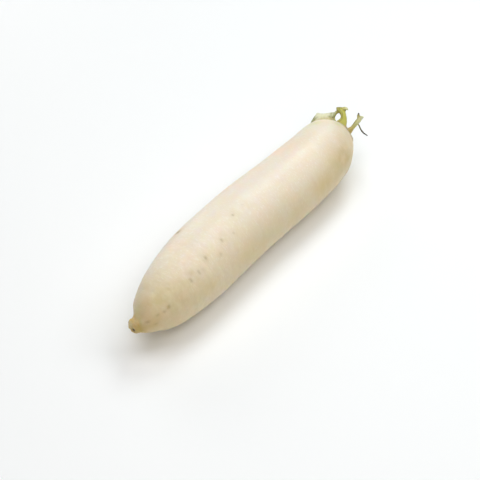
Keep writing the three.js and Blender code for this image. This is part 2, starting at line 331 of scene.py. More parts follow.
@dataclass(frozen=True)
class Blade:
    """A curled blade along a path of places on the crown, like the stub of a leaf stalk or a strip of one.

    Widths and thicknesses are spaced evenly from foot to cut end. "curl" is the arc that its section spans,
    in degrees. "faces" is where its rounded back looks, as [right, up]. "cut" tilts its cut end: how far
    along the stalk for each millimetre to its side, and for each millimetre to its back. Each of "bands" is
    dark: where it is across the back from -1 to 1, how wide and how strong it is, and how far up it runs.
    """

    path: Sequence[tuple[float, float, float]]
    width: Sequence[float]
    thick: Sequence[float]
    curl: float
    faces: tuple[float, float]
    cut: tuple[float, float] = (0.0, 0.0)
    dip: float = 0.0            # how much lower a part of its cut end is
    dip_place: tuple[float, float] = (0.1, 0.22)  # the middle and the reach of that, in widths
    ribs: int = 7               # ridges along its back
    rib_height: float = 0.13
    flare: float = 0.2          # how much wider its foot is
    sink: float = 2.4           # how far its foot goes into the crown
    lip: float = 0.28           # how far its cut edge is rounded
    foot_stain: tuple[float, float] = (2.2, 1.0)  # how far up its foot is stained, and how strongly
    dryness: tuple[float, float] = (0.0, 0.0)  # at its foot and at its end
    pallor: float = 0.0         # how much paler it is than the other stalks of its finish
    browned: float = 0.0        # how strongly its cut edge has gone brown
    brown_reach: float = 1.0    # how far down from the cut edge it has gone brown
    bands: Sequence[tuple[float, float, float, float]] = ()
    facets: tuple[int, int, int] = (44, 26, 6)  # along it, across it and through it
    end_facets: tuple[int, int] = (4, 6)  # along its sunken foot and along its rounded cut edge
    seed: float = 0.0
    line_points: int = 60       # points of its middle line between two places of its path
    flare_reach: float = 1.6
    lip_fullness: float = 0.8   # how much of its thickness the rounding of its cut edge takes
    hollow_ribs: float = 0.35   # how high its ribs are on the hollow side, as a share of the back's
    least_thick: float = 0.2
    plain_foot: float = 3.0     # how far up its foot keeps its plain form, at least in part
    waver_height: float = 0.16  # how far it strays from its plain form
    waver_size: float = 5.0
    fibre_height: float = 0.035
    fibre_size: tuple[float, float, float] = (3.2, 0.55, 0.9)
    strand_span: float = 0.78   # how far across its cut face the strands are spread, of its half width
    strand_place: float = 0.42  # where they are through it, as a share from its back
    strand_reach: float = 0.42
    strand_height: float = 0.16
    cut_hollow: float = 0.34    # how far its cut face is sunk in the middle
    cut_roughness: float = 0.1  # how high its unevenness is there
    cut_grain: float = 1.9      # and how fine

    def line(self, form: RootForm) -> tuple[Array, Array]:
        """Draws the blade's middle line.

        Args:
            form: The root that the path's places belong to.

        Returns:
            Closely spaced points along it, and the distance of each from its foot.
        """
        points = form.on_crown(np.array(self.path, float))
        ends = [2 * points[0] - points[1], *points, 2 * points[-1] - points[-2]]
        dense = [points[:1]]
        shares = np.linspace(0, 1, self.line_points)[1:, None]
        for a, b, c, d in zip(ends, ends[1:], ends[2:], ends[3:]):
            dense.append(self._stretch(a, b, c, d, shares))
        line = np.concatenate(dense)
        distance = np.concatenate([[0], np.cumsum(np.linalg.norm(np.diff(line, axis=0), axis=1))])
        return line, distance

    @staticmethod
    def _stretch(a: Array, b: Array, c: Array, d: Array, t: Array) -> Array:
        """One stretch of the round curve through four points.

        Args:
            a: The point before the stretch.
            b: Its first point.
            c: Its last point.
            d: The point after it.
            t: How far along the stretch to look, from 0 to 1.

        Returns:
            The points there.
        """
        gaps = [max(float(np.sum((q - p) ** 2)) ** 0.25, 1e-4) for p, q in ((a, b), (b, c), (c, d))]
        start = (b - a) / gaps[0] - (c - a) / (gaps[0] + gaps[1]) + (c - b) / gaps[1]
        end = (c - b) / gaps[1] - (d - b) / (gaps[1] + gaps[2]) + (d - c) / gaps[2]
        start, end = start * gaps[1], end * gaps[1]
        cubic = 2 * b - 2 * c + start + end
        square = -3 * b + 3 * c - 2 * start - end
        return b + start * t + square * t**2 + cubic * t**3

    def _stations(self, length: float) -> Array:
        """Distances along the blade where it has a section, closer together at its cut edge.

        Args:
            length: The blade's length.

        Returns:
            The distances, from below its foot to its cut end.
        """
        sunken, rounded = self.end_facets
        below = np.linspace(-self.sink, 0, sunken)[:-1] if self.sink > 0 else np.zeros(0)
        body = np.linspace(0, length - self.lip, self.facets[0])
        edge = length - self.lip * (1 - np.sin(np.linspace(0, math.pi / 2, rounded)[1:]))
        return np.concatenate([below, body, edge])

    def sections(self, form: RootForm) -> tuple[Array, Array, Masks]:
        """Works out the sections of the blade.

        Args:
            form: The root that it grows on.

        Returns:
            The points of its sections as [station, across, back or hollow side], the direction of the
            stalk at its cut end, and the masks of those points.
        """
        line, distance = self.line(form)
        length = distance[-1]
        run = self._stations(length)
        share = np.clip(run / length, 0, 1)
        middle = np.stack([np.interp(run, distance, line[:, i]) for i in range(3)], -1)
        tangent = unit(np.gradient(line, distance, axis=0))
        axis = unit(np.stack([np.interp(run, distance, tangent[:, i]) for i in range(3)], -1))
        middle += axis * np.minimum(run, 0)[:, None]
        _, right, up = form.crown_axes()[1]
        back = unit(right * self.faces[0] + up * self.faces[1])
        outward = unit(back - axis * (axis @ back)[:, None])
        side = np.cross(axis, outward)

        spread = 1 + self.flare * np.exp(-np.maximum(run, 0) / self.flare_reach)
        width = np.interp(share, np.linspace(0, 1, len(self.width)), self.width) * spread
        thick = np.interp(share, np.linspace(0, 1, len(self.thick)), self.thick) * spread
        half = math.radians(self.curl) / 2
        arc = width / 2 / math.sin(half)
        into_lip = np.clip(1 - (length - run) / self.lip, 0, 1)
        inset = self.lip_fullness * self.lip * (1 - np.sqrt(1 - into_lip**2))

        # From here on, every array is [station, across, back or hollow side].
        u = -np.cos(np.linspace(0, math.pi, self.facets[1] + 1))[None, :, None]
        v = np.array([1.0, -1.0])[None, None, :]
        wide = [values[:, None, None] for values in (width, thick, arc, inset, into_lip, share, run)]
        width, thick, arc, inset, into_lip, share, run = wide
        turn = half * u * (1 - 2 * inset / width)
        rounding = np.sqrt(1 - np.abs(u) ** 3)
        ridge = np.cos(math.pi * self.ribs * u) * (1 - u**2)
        ribs = self.rib_height * ridge * np.where(v > 0, 1, -self.hollow_ribs) * (1 - into_lip)
        depth = v * np.maximum(thick / 2 - inset, self.least_thick / 2) * rounding + ribs
        x = (arc + depth) * np.sin(turn)
        y = (arc + depth) * np.cos(turn) - arc
        dip_middle, dip_reach = self.dip_place
        dip = self.dip * bump(x - dip_middle * width, dip_reach * width)
        tilt = (self.cut[0] * x + self.cut[1] * y - dip) * share**3
        along, across, through = (w[:, None, None, :] for w in (axis, side, outward))
        points = middle[:, None, None, :] + across * x[..., None] + through * y[..., None]
        points += along * tilt[..., None]
        grain = np.stack(np.broadcast_arrays(run, arc * turn, depth), -1)
        size = (self.waver_size,) * 3
        waver = np.stack([unevenness(points, size, self.seed + 7.3 * i) for i in range(3)], -1)
        fine = unevenness(grain, self.fibre_size, self.seed + 31)
        above = ramp(run, 0, self.plain_foot)[..., None]
        fibres = self.fibre_height * fine[..., None] * through * v[..., None]
        points += above * (self.waver_height * waver + fibres)
        masks = {"grain": grain, **self._masks(length, run, share, u, into_lip, x)}
        return points, axis[-1], masks

    def _masks(self, length: float, run: Array, share: Array, u: Array, into_lip: Array, x: Array) -> Masks:
        """Works out the masks that say how the blade is coloured.

        Args:
            length: The blade's length.
            run: Distances along it.
            share: The same as shares of its length.
            u: Places across it, from -1 to 1.
            into_lip: How far into its rounded cut edge each section is.
            x: Any array of one value for each point of the sections.

        Returns:
            One value for each point, by attribute name.
        """
        band = np.zeros_like(x)
        for where, wide, strength, high in self.bands:
            wander = 0.5 * wide * np.sin(0.8 * run + 3 * where)
            up_to = 1 - ramp(run, high, 1.6 * high + 0.5)
            band = np.maximum(band, strength * bump(u - where - wander, wide) * up_to)
        stain_reach, stain = self.foot_stain
        dry_foot, dry_end = self.dryness
        masks = {
            "band": band,
            "pale": self.pallor * ramp(share, 0, 0.9),
            "browned": self.browned * bump(length - run, self.brown_reach),
            "cut": into_lip,
            "foot": stain * bump(np.maximum(run, 0), stain_reach),
            "rise": share,
            "edge": np.abs(u) ** 5,
            "ridge": 0.5 + 0.5 * np.cos(math.pi * self.ribs * u),
            "dry": dry_foot + (dry_end - dry_foot) * share,
            "strand": 0.0,
        }
        return {key: values * np.ones_like(x) for key, values in masks.items()}

    def shell(self, form: RootForm) -> tuple[Array, list, Masks]:
        """Builds the closed blade.

        Args:
            form: The root that it grows on.

        Returns:
            Its vertices, its faces and the masks of its vertices.
        """
        points, axis, masks = self.sections(form)
        stations, columns = points.shape[:2]
        last = columns - 1
        count = 2 * last
        # Round each section: its back from one edge to the other, and its hollow side the other way.
        order = [(k, 0) for k in range(columns)] + [(k, 1) for k in range(last - 1, 0, -1)]
        ks, vs = (np.array(n) for n in zip(*order))
        flat = points[:, ks, vs].reshape(-1, 3)
        masks = {key: m[:, ks, vs].reshape(-1, *m.shape[3:]) for key, m in masks.items()}
        faces = []
        for r in range(stations - 1):
            for i in range(count):
                a, b = r * count + i, r * count + (i + 1) % count
                faces.append((a, b, b + count, a + count))
        # Close the foot with a strip of faces from one edge to the other.
        for i in range(last - 1):
            lower = [i, i + 1, (count - i - 1) % count, (count - i) % count]
            faces.append(tuple(dict.fromkeys(reversed(lower))))
        lower = [last - 1, last, (last + 1) % count]
        faces.append(tuple(reversed(lower)))
        return self._add_cut_face(flat, faces, masks, (stations - 1) * count, count, axis)

    def _add_cut_face(
        self, points: Array, faces: list, masks: Masks, base: int, count: int, axis: Array
    ) -> tuple[Array, list, Masks]:
        """Closes the cut end with a slightly sunken face, where the strands of the stalk show as dots.

        Args:
            points: The blade's vertices so far.
            faces: Its faces so far.
            masks: The masks of its vertices.
            base: The number of the first vertex of its last section.
            count: How many vertices a section has.
            axis: Which way the stalk runs at its cut end.

        Returns:
            The vertices, faces and masks of the closed blade.
        """
        last = count // 2
        rows = self.facets[2]
        ring = np.arange(base, base + count)
        back = ring[: last + 1]
        hollow = np.concatenate([ring[:1], ring[: last - 1 : -1]])
        u = -np.cos(np.linspace(0, math.pi, last + 1))
        grid = np.empty((last + 1, rows + 1), int)
        grid[:, 0], grid[:, rows] = back, hollow
        grid[0, :], grid[last, :] = ring[0], ring[last]
        added, extra, start = [], {key: [] for key in masks}, len(points)
        strands = self.strand_span * np.linspace(-1, 1, max(3, self.ribs))
        half_width = self.width[-1] / 2
        for k in range(1, last):
            for row in range(1, rows):
                w = row / rows
                place = points[back[k]] * (1 - w) + points[hollow[k]] * w
                grain = masks["grain"][back[k]] * (1 - w) + masks["grain"][hollow[k]] * w
                rim = (1 - u[k] ** 2) * (1 - (2 * w - 1) ** 2)
                apart = np.hypot((strands - u[k]) * half_width, (w - self.strand_place) * self.thick[-1])
                strand = float(bump(apart, self.strand_reach).max())
                rough = self.cut_roughness * noise.noise(tuple(place * self.cut_grain + self.seed))
                rise = self.strand_height * strand + (rough - self.cut_hollow) * rim
                added.append(place + axis * rise)
                values = {key: masks[key][back[k]] for key in masks}
                values.update(grain=grain, cut=1.0, strand=strand)
                values["browned"] *= (1 - rim) ** 3
                for key, value in values.items():
                    extra[key].append(value)
                grid[k, row] = start + len(added) - 1
        for k in range(last):
            for row in range(rows):
                square = (grid[k, row], grid[k + 1, row], grid[k + 1, row + 1], grid[k, row + 1])
                corners = tuple(int(corner) for corner in dict.fromkeys(square))
                if len(corners) > 2:
                    faces.append(corners)
        points = np.concatenate([points, np.array(added)])
        masks = {key: np.concatenate([masks[key], np.array(extra[key])]) for key in masks}
        return points, faces, masks


@dataclass(frozen=True)
class Stalk:
    """The stub of a leaf stalk, with whatever is torn from it and still grows on it."""

    node: str
    slot: Slot
    blade: Blade
    torn: Sequence[Blade] = ()

    def build(self, form: RootForm, origin: Array) -> bpy.types.Object:
        """Makes the stub, with its torn pieces joined to it.

        Args:
            form: The root that it grows on.
            origin: The frame's origin in the root's space, in millimetres.

        Returns:
            The finished object.
        """
        name = f"{self.node}_grown"
        shells = [blade.shell(form) for blade in (self.blade, *self.torn)]
        piece = make_piece(name, *shells[0], origin)
        if not self.torn:
            return piece
        for points, faces, masks in shells[1:]:
            strip = make_piece(f"{name}_strip", points, faces, masks, origin)
            join = piece.modifiers.new("join", "BOOLEAN")
            join.operation = "UNION"
            join.solver = "EXACT"
            join.object = strip
            bpy.context.view_layer.update()
            evaluated = piece.evaluated_get(bpy.context.evaluated_depsgraph_get())
            mesh = bpy.data.meshes.new_from_object(evaluated)
            piece.modifiers.clear()
            piece.data = mesh
            bpy.data.objects.remove(strip)
        self._carry_masks(piece.data, shells, origin)
        piece.data.shade_smooth()
        return piece

    @staticmethod
    def _carry_masks(
        mesh: bpy.types.Mesh, shells: Sequence[tuple[Array, list, Masks]], origin: Array
    ) -> None:
        """Gives each vertex of the joined mesh the masks of the nearest vertex that it was joined from.

        Args:
            mesh: The joined mesh.
            shells: The vertices, faces and masks of what was joined.
            origin: The frame's origin in the root's space, in millimetres.
        """
        points = (np.concatenate([shell[0] for shell in shells]) - origin) * MM
        tree = KDTree(len(points))
        for number, point in enumerate(points.tolist()):
            tree.insert(point, number)
        tree.balance()
        nearest = [tree.find(vertex.co)[1] for vertex in mesh.vertices]
        masks = {key: np.concatenate([shell[2][key] for shell in shells]) for key in shells[0][2]}
        set_masks(mesh, {key: values[nearest] for key, values in masks.items()})


@dataclass(frozen=True)
class StalkRing:
    """A ring of short stalks, by angle round the crown from its top towards the right."""

    name: str
    slot: Slot
    distance: float
    angles: Sequence[float]
    heights: Sequence[float]
    widths: Sequence[float]
    thick: tuple[float, float]
    curl: float
    lean: float
    ribs: int
    cut: tuple[float, float] = (0.08, -0.15)
    taper: float = 0.94
    facets: tuple[int, int, int] = (22, 22, 6)

    def _varied(self, number: int, middle: float, swing: float, pace: float) -> float:
        """A value that differs from stalk to stalk, in the same way each time."""
        return middle + swing * math.sin(pace * number + self.distance)

    def stalks(self, form: RootForm) -> list[Stalk]:
        """Places the stalks of the ring, each standing on the crown's dome and leaning outwards.

        Args:
            form: The root that they grow on.

        Returns:
            The stalks.
        """
        found = []
        for number, (angle, tall) in enumerate(zip(self.angles, self.heights)):
            away = (math.sin(math.radians(angle)), math.cos(math.radians(angle)))
            path = []
            for share in (0, 0.5, 1):
                up = tall * share
                off = self.distance + up * math.tan(math.radians(self.lean))
                path.append((form.crown_height(self.distance) + up, off * away[0], off * away[1]))
            width = (self.widths[number], self.widths[number] * self.taper)
            blade = Blade(
                path, width, self.thick, self.curl, away, self.cut, ribs=self.ribs, facets=self.facets,
                browned=self._varied(number, middle=0.45, swing=0.35, pace=5.3), brown_reach=0.7,
                pallor=self._varied(number, middle=0.3, swing=0.3, pace=2.9),
                seed=11.7 * number + self.distance,
            )
            found.append(Stalk(f"{self.name}_{number + 1}", self.slot, blade))
        return found


TORN_STRIP = Blade(
    path=((12.6, 2.6, 17.2), (11.0, 0.7, 16.0), (8.6, 0.0, 14.9), (5.6, 0.4, 14.0), (2.2, 2.8, 13.3),
          (0.6, 6.0, 12.9)),
    width=(5.0, 3.4, 2.3, 1.9, 1.9, 2.4, 3.6), thick=(1.7, 1.4, 1.2, 1.2, 1.3, 1.6), curl=30,
    faces=(-0.3, 1), ribs=2, rib_height=0.06, flare=0, sink=0, lip=0.15,
    bands=((0.0, 2.0, 0.5, 30.0),), facets=(40, 12, 3), seed=5.0,
)
DRIED_TIP = Blade(
    path=((10.6, 19.0, 15.4), (12.4, 18.5, 16.7), (13.8, 18.0, 17.8)),
    width=(3.4, 2.9, 1.1), thick=(1.6, 1.3, 0.8), curl=30, faces=(1, 0.7),
    ribs=2, rib_height=0.05, flare=0, sink=0, lip=0.3, dryness=(-0.2, 1.25),
    facets=(20, 10, 3), seed=6.0,
)
CURLED_LIP = Blade(
    path=((14.2, 4.4, 18.5), (14.9, 6.8, 19.1), (15.2, 8.9, 18.9)),
    width=(3.8, 3.4, 2.8), thick=(1.4, 1.2, 0.8), curl=40, faces=(0, 1), cut=(0.3, 0),
    ribs=2, rib_height=0.05, flare=0, sink=0, lip=0.2, pallor=0.9, browned=0.1,
    facets=(24, 12, 3), seed=8.0,
)
FIBRE = Blade(
    path=((7.6, 18.0, 12.6), (9, 19.9, 9.9), (10.5, 21.8, 4.8), (11.5, 24.1, 1.6), (12, 26.9, -0.4)),
    width=(0.85, 0.95, 1.3, 1.2, 0.8), thick=(0.85, 0.95, 1.2, 0.8), curl=20, faces=(1, 0.7),
    ribs=2, rib_height=0.04, flare=0, sink=0, lip=0.2, dryness=(0.4, 1.25),
    facets=(40, 10, 3), seed=7.0,
)
TALL_STALKS = (
    Stalk("stalk_left", Slot.PALE, Blade(
        path=((0.2, -9.6, 12.2), (4.6, -10.5, 13.0), (9.4, -10.0, 14.5)),
        width=(19.6, 21.8, 20.8), thick=(3.4, 2.6, 2.0), curl=84, faces=(-0.6, 1), cut=(-0.12, -1.05),
        dip=0.9, ribs=11, flare=0.14, browned=0.25,
        # The first three bands darken the left edge, partly its darker margin and partly painted shade, and
        # a wedge at the foot, which is painted shade where the stalk meets the crown.
        bands=((-0.82, 0.13, 1.0, 8.0), (-0.95, 0.32, 1.7, 8.0), (-0.64, 0.32, 1.5, 3.8),
               (0.74, 0.09, 0.55, 9.0), (0.93, 0.07, 0.6, 9.0)),
        facets=(40, 64, 6), seed=1.0,
    )),
    Stalk("stalk_middle", Slot.OLIVE, Blade(
        path=((0.2, 7.4, 12.9), (3.4, 8.4, 14.6), (6.6, 8.2, 16.0), (10, 6.6, 17.0), (13, 4.5, 17.8),
              (16, 3.7, 18.0)),
        width=(10.8, 7.0, 5.0, 4.5, 5.2, 7.6, 8.2), thick=(3.4, 2.6, 2.4, 2.4, 2.0), curl=56,
        faces=(0.3, 1), cut=(0.1, -0.3), ribs=6, flare=0, browned=0.9, brown_reach=1.8,
        bands=((-0.9, 0.16, 0.9, 12.0), (0.97, 0.10, 0.7, 16.0), (-0.45, 0.12, 0.7, 13.0)),
        facets=(60, 36, 6), seed=2.0,
    ), (TORN_STRIP, CURLED_LIP)),
    Stalk("stalk_right", Slot.OLIVE, Blade(
        path=((1, 14.6, 8.6), (4, 16.0, 9.9), (7.5, 17.9, 12.0), (12.6, 20.9, 16.2)),
        width=(5.0, 2.9, 3.2, 3.8, 4.4, 4.8), thick=(3.0, 2.4, 2.2, 1.8), curl=50, faces=(1, 0.7),
        cut=(0.35, 0), ribs=5, flare=0, foot_stain=(4.2, 2.2), pallor=1.0,
        bands=((-0.95, 0.16, 0.7, 16.0), (0.95, 0.14, 0.9, 8.0), (0.1, 0.07, 0.4, 12.0)),
        facets=(60, 30, 6), seed=3.0,
    ), (DRIED_TIP, FIBRE)),
)
OUTER_RING = StalkRing(
    "stalk_outer", Slot.PALE, distance=14, angles=(99, 141, 182, 223, 262), heights=(4.4, 6.5, 8, 7, 6),
    widths=(7.5, 9, 9.4, 9, 8.4), thick=(3.4, 2.4), curl=46, lean=16, ribs=7,
)
INNER_RING = StalkRing(
    "stalk_inner", Slot.PALE, distance=8.4, angles=(-48, 18, 88, 160, 232), heights=(7, 6, 6.5, 5.4, 7),
    widths=(7, 6.4, 6.6, 6.2, 6.8), thick=(2.8, 1.9), curl=70, lean=5, ribs=5,
)
BUD = StalkRing(
    "bud_leaf", Slot.BUD, distance=2.4, angles=(62, 242), heights=(4.6, 3.6),
    widths=(4.2, 3.8), thick=(1.9, 1.3), curl=110, lean=-4, ribs=3,
)


# ---------------------------------------------------------------- the root's skin


@dataclass(frozen=True)
class Scar:
    """The mark of a side root, or a corky one on the shoulder."""

    place: float
    angle: float        # degrees round the root, from its top towards the right
    length: float       # round the root
    width: float        # along the root
    depth: float
    colour: float       # how strongly it is stained

    def over(self, place: Array, angle: Array, size: Array) -> tuple[Array, Array]:
        """The dent and the stain of the mark, which has a raised lip above and below it.

        Args:
            place: Place along the root of each point.
            angle: Its angle round the root.
            size: Its distance from the centre line.

        Returns:
            How far each point stands out, and how strongly it is stained.
        """
        along = (place - self.place) / self.width
        around = turn_between(angle, self.angle) * size / (self.length / 2)
        core = np.exp(-(along**2) - around**4)
        lips = np.exp(-((np.abs(along) - 1.7) ** 2) - around**2)
        halo = np.exp(-((along / 2.4) ** 2) - (around / 1.5) ** 2)
        return self.depth * (0.35 * lips - core), self.colour * (0.75 * core + 0.4 * halo)


@dataclass(frozen=True)
class Tint:
    """A soft patch of another colour: where it is, how far it reaches and how strong it is."""

    place: float
    angle: float
    reach: float
    strength: float
    stretch: float = 1.0     # how many times longer it is along the root

    def over(self, place: Array, angle: Array, size: Array) -> Array:
        """How strong it is at each point, by place, angle and distance from the centre line."""
        along = (place - self.place) / self.stretch
        apart = np.hypot(along, turn_between(angle, self.angle) * size)
        return self.strength * bump(apart, self.reach)


@dataclass(frozen=True)
class Swelling:
    """A soft swelling of the root near its tail, or a slimmer place where its height is negative."""

    place: float
    reach: float        # along the root
    angle: float        # degrees round the root
    spread: float       # round the root, in radians
    height: float

    def over(self, place: Array, angle: Array) -> Array:
        """How far it lifts each point."""
        around = bump(turn_between(angle, self.angle), self.spread)
        return self.height * bump(place - self.place, self.reach) * around


# The soft patches on the skin, by the mask that they are in.
SKIN_TINTS = {
    "green": (
        Tint(236, 338, 4.5, 0.75), Tint(243, 322, 3.0, 0.9), Tint(243, 20.5, 3.4, 0.75),
        Tint(249, 60, 3.0, 0.4), Tint(8, 347, 3.6, 0.3),
    ),
    "tanned_and_shaded": (
        Tint(33, 46, 9.0, 0.45), Tint(27, 64, 9.0, 0.5), Tint(10, 70, 7.0, 0.7), Tint(6, 40, 4.0, 0.6),
        # Tint(20, 20, ...) is painted shade on the top of the tail; the rest are tan stains.
        Tint(48, 47, 6.0, 0.4), Tint(21, 53, 4.0, 0.4), Tint(20, 20, 8.0, 0.6, 1.3),
        Tint(45.5, 34, 3.2, 0.8), Tint(222, 71, 13.0, 0.68, 1.4),
    ),
    "peach": (
        Tint(186, 327, 10.0, 0.9), Tint(160, 322, 9.0, 0.7), Tint(138, 318, 10.0, 0.8),
        Tint(116, 320, 9.0, 0.8), Tint(78, 314, 6.0, 0.9), Tint(60, 330, 9.0, 0.4),
        Tint(97, 318, 8.0, 0.5), Tint(244, 352, 9.0, 0.6),
    ),
    # Khaki: a real brownish tint between the tail's scars and along the crown's rim, and painted shade down
    # the right flank and on the shoulder.
    "khaki_and_shade": (
        Tint(214, 69, 10.0, 0.65, 1.6), Tint(192, 77, 9.0, 0.65, 1.8), Tint(160, 83, 9.0, 0.45, 1.8),
        Tint(50, 76, 8.0, 0.45, 2.2), Tint(105, 82, 12.0, 0.4, 4.0), Tint(36, 40, 5.5, 0.3),
        Tint(27, 36, 6.0, 0.2), Tint(239, 60, 9.0, 0.38, 1.4), Tint(248.6, 31, 3.5, 0.6),
        Tint(248, 42, 4.0, 0.7), Tint(246.5, 54, 4.0, 0.8), Tint(243.5, 67, 4.0, 0.9),
    ),
    # Painted highlight: a whiter stripe along the top, where the lamps' highlight runs.
    "pale": (Tint(145, 353, 8.0, 0.55, 5.5), Tint(226, 350, 8.0, 0.4, 2.5)),
}


@dataclass
class CrownSkin:
    """The collars that the skin makes round the stalks' feet, and the corky lines round the crown.

    Angles are radians round the crown, from its top towards the right.
    """

    form: RootForm
    stalks: Sequence[Stalk]
    below_rim: float = 9.0          # how far down from the rim the stalks count
    beyond_rim: float = 7.0         # how far out from the rim they count
    far_off: float = 99.0           # stands for a distance to no stalk
    foot_station: int = 3           # the section of a stalk that stands in the skin's surface
    dome_edge: tuple[float, float] = (-3.2, 0.4)  # where the dome sets in, out from the rim's plane
    dome_sink: float = 0.25         # how much lower the dome is between the collars
    rough: Waves = Waves(1.0, (1.6, 1.6, 1.6), 4.4)
    coarse: Waves = Waves(1.0, (5.0, 5.0, 5.0), 6.4)
    dome_roughness: float = 0.14    # how high the rough waves are on the dome
    cork_roughness: float = 0.12    # and on the corky lines
    line_roughness: float = 0.3     # and how far they push those lines along the root
    # The slow waves of the corky lines: how high, how many round the crown, and where they start.
    wander: tuple[tuple[float, float, float], ...] = ((0.7, 3, 1), (0.4, 7, 0))
    rim_line: float = 249.6         # the corky line round the rim: its place along the root
    rim_width: float = 0.6
    rim_height: float = 0.25
    second_line: float = 245.2      # a fainter one behind it
    second_width: float = 0.7
    second_strength: float = 0.45
    second_middle: float = 2.4
    second_spread: float = 0.8
    second_wander: float = 1.3      # how many times as far as the rim's line it wanders
    bare_middle: float = -0.25      # where the lines fade out, at the crown's top
    bare_spread: float = 0.55
    swellings: tuple[tuple[float, float], ...] = ((1.36, 0.22), (0.75, 0.11))  # of the rim: middle, spread
    swelling_height: float = 0.9
    collar_offset: float = 0.4      # how far from a stalk its collar is highest
    collar_reach: float = 1.0
    collar_height: float = 0.45
    seam_offset: float = 1.9        # how far from a stalk its brown seam runs
    seam_wander: float = 0.4
    seam_width: float = 0.5
    green_reach: float = 3.4        # how far from a stalk the skin is green
    green_start: float = -7.0       # how far from the rim's plane the skin starts to be green

    def _gap(self, local: Array, distance: Array) -> Array:
        """How far each point is from the nearest stalk's foot.

        Args:
            local: Places on the crown, [out, right, up] from the middle of its rim.
            distance: How far each is from the crown's middle, seen from the front.

        Returns:
            The distances.
        """
        near = (local[..., 0] > -self.below_rim) & (distance < self.form.rim_radius + self.beyond_rim)
        spots = local[near]
        closest = np.full(len(spots), self.far_off)
        for stalk in self.stalks:
            foot = stalk.blade.sections(self.form)[0][self.foot_station]
            outline = self.form.from_crown(foot).reshape(-1, 3)
            apart = np.linalg.norm(spots[:, None] - outline[None], axis=-1).min(1)
            closest = np.minimum(closest, apart)
        gap = np.full(distance.shape, self.far_off)
        gap[near] = closest
        return gap

    def relief(self, place: Array, points: Array) -> tuple[Array, Masks]:
        """Works out the fine relief of the crown.

        Args:
            place: Place along the root of each point of the skin.
            points: Its place in the root's space.

        Returns:
            How far each point stands out from the plain form, and the masks of the points.
        """
        local = self.form.from_crown(points)
        out = local[..., 0]
        gap = self._gap(local, np.hypot(local[..., 1], local[..., 2]))
        rough = self.rough.over(points)
        on_dome = ramp(out, *self.dome_edge)
        angle = np.arctan2(local[..., 1], local[..., 2])
        shown = 1 - 0.95 * bump(angle - self.bare_middle, self.bare_spread)
        patchy = np.clip(0.7 + 0.6 * self.coarse.over(points), 0, 1)
        wave = sum(high * np.sin(count * angle + start) for high, count, start in self.wander)
        wave += self.line_roughness * rough
        rim = bump(place - self.rim_line - wave, self.rim_width) * (out < 0.5)
        second = bump(place - self.second_line - self.second_wander * wave, self.second_width)
        second *= self.second_strength * bump(angle - self.second_middle, self.second_spread)
        ridge = rim * sum(bump(angle - middle, spread) for middle, spread in self.swellings)
        cork = np.maximum(np.maximum(rim, second) * patchy * shown, ridge)
        collar = bump(gap - self.collar_offset, self.collar_reach)
        dome = self.collar_height * collar + self.dome_roughness * rough - self.dome_sink * (1 - collar)
        height = on_dome * dome + self.cork_roughness * cork * rough
        height += self.rim_height * rim * shown + self.swelling_height * ridge
        green = np.clip(0.75 * bump(gap, self.green_reach) + 0.45 * on_dome, 0, 1)
        seam = 0.5 * on_dome * bump(gap - self.seam_offset - self.seam_wander * rough, self.seam_width)
        masks = {
            "green": green * ramp(out, self.green_start, 0),
            "cork": np.maximum(0.9 * cork, seam * patchy),
        }
        return height, masks


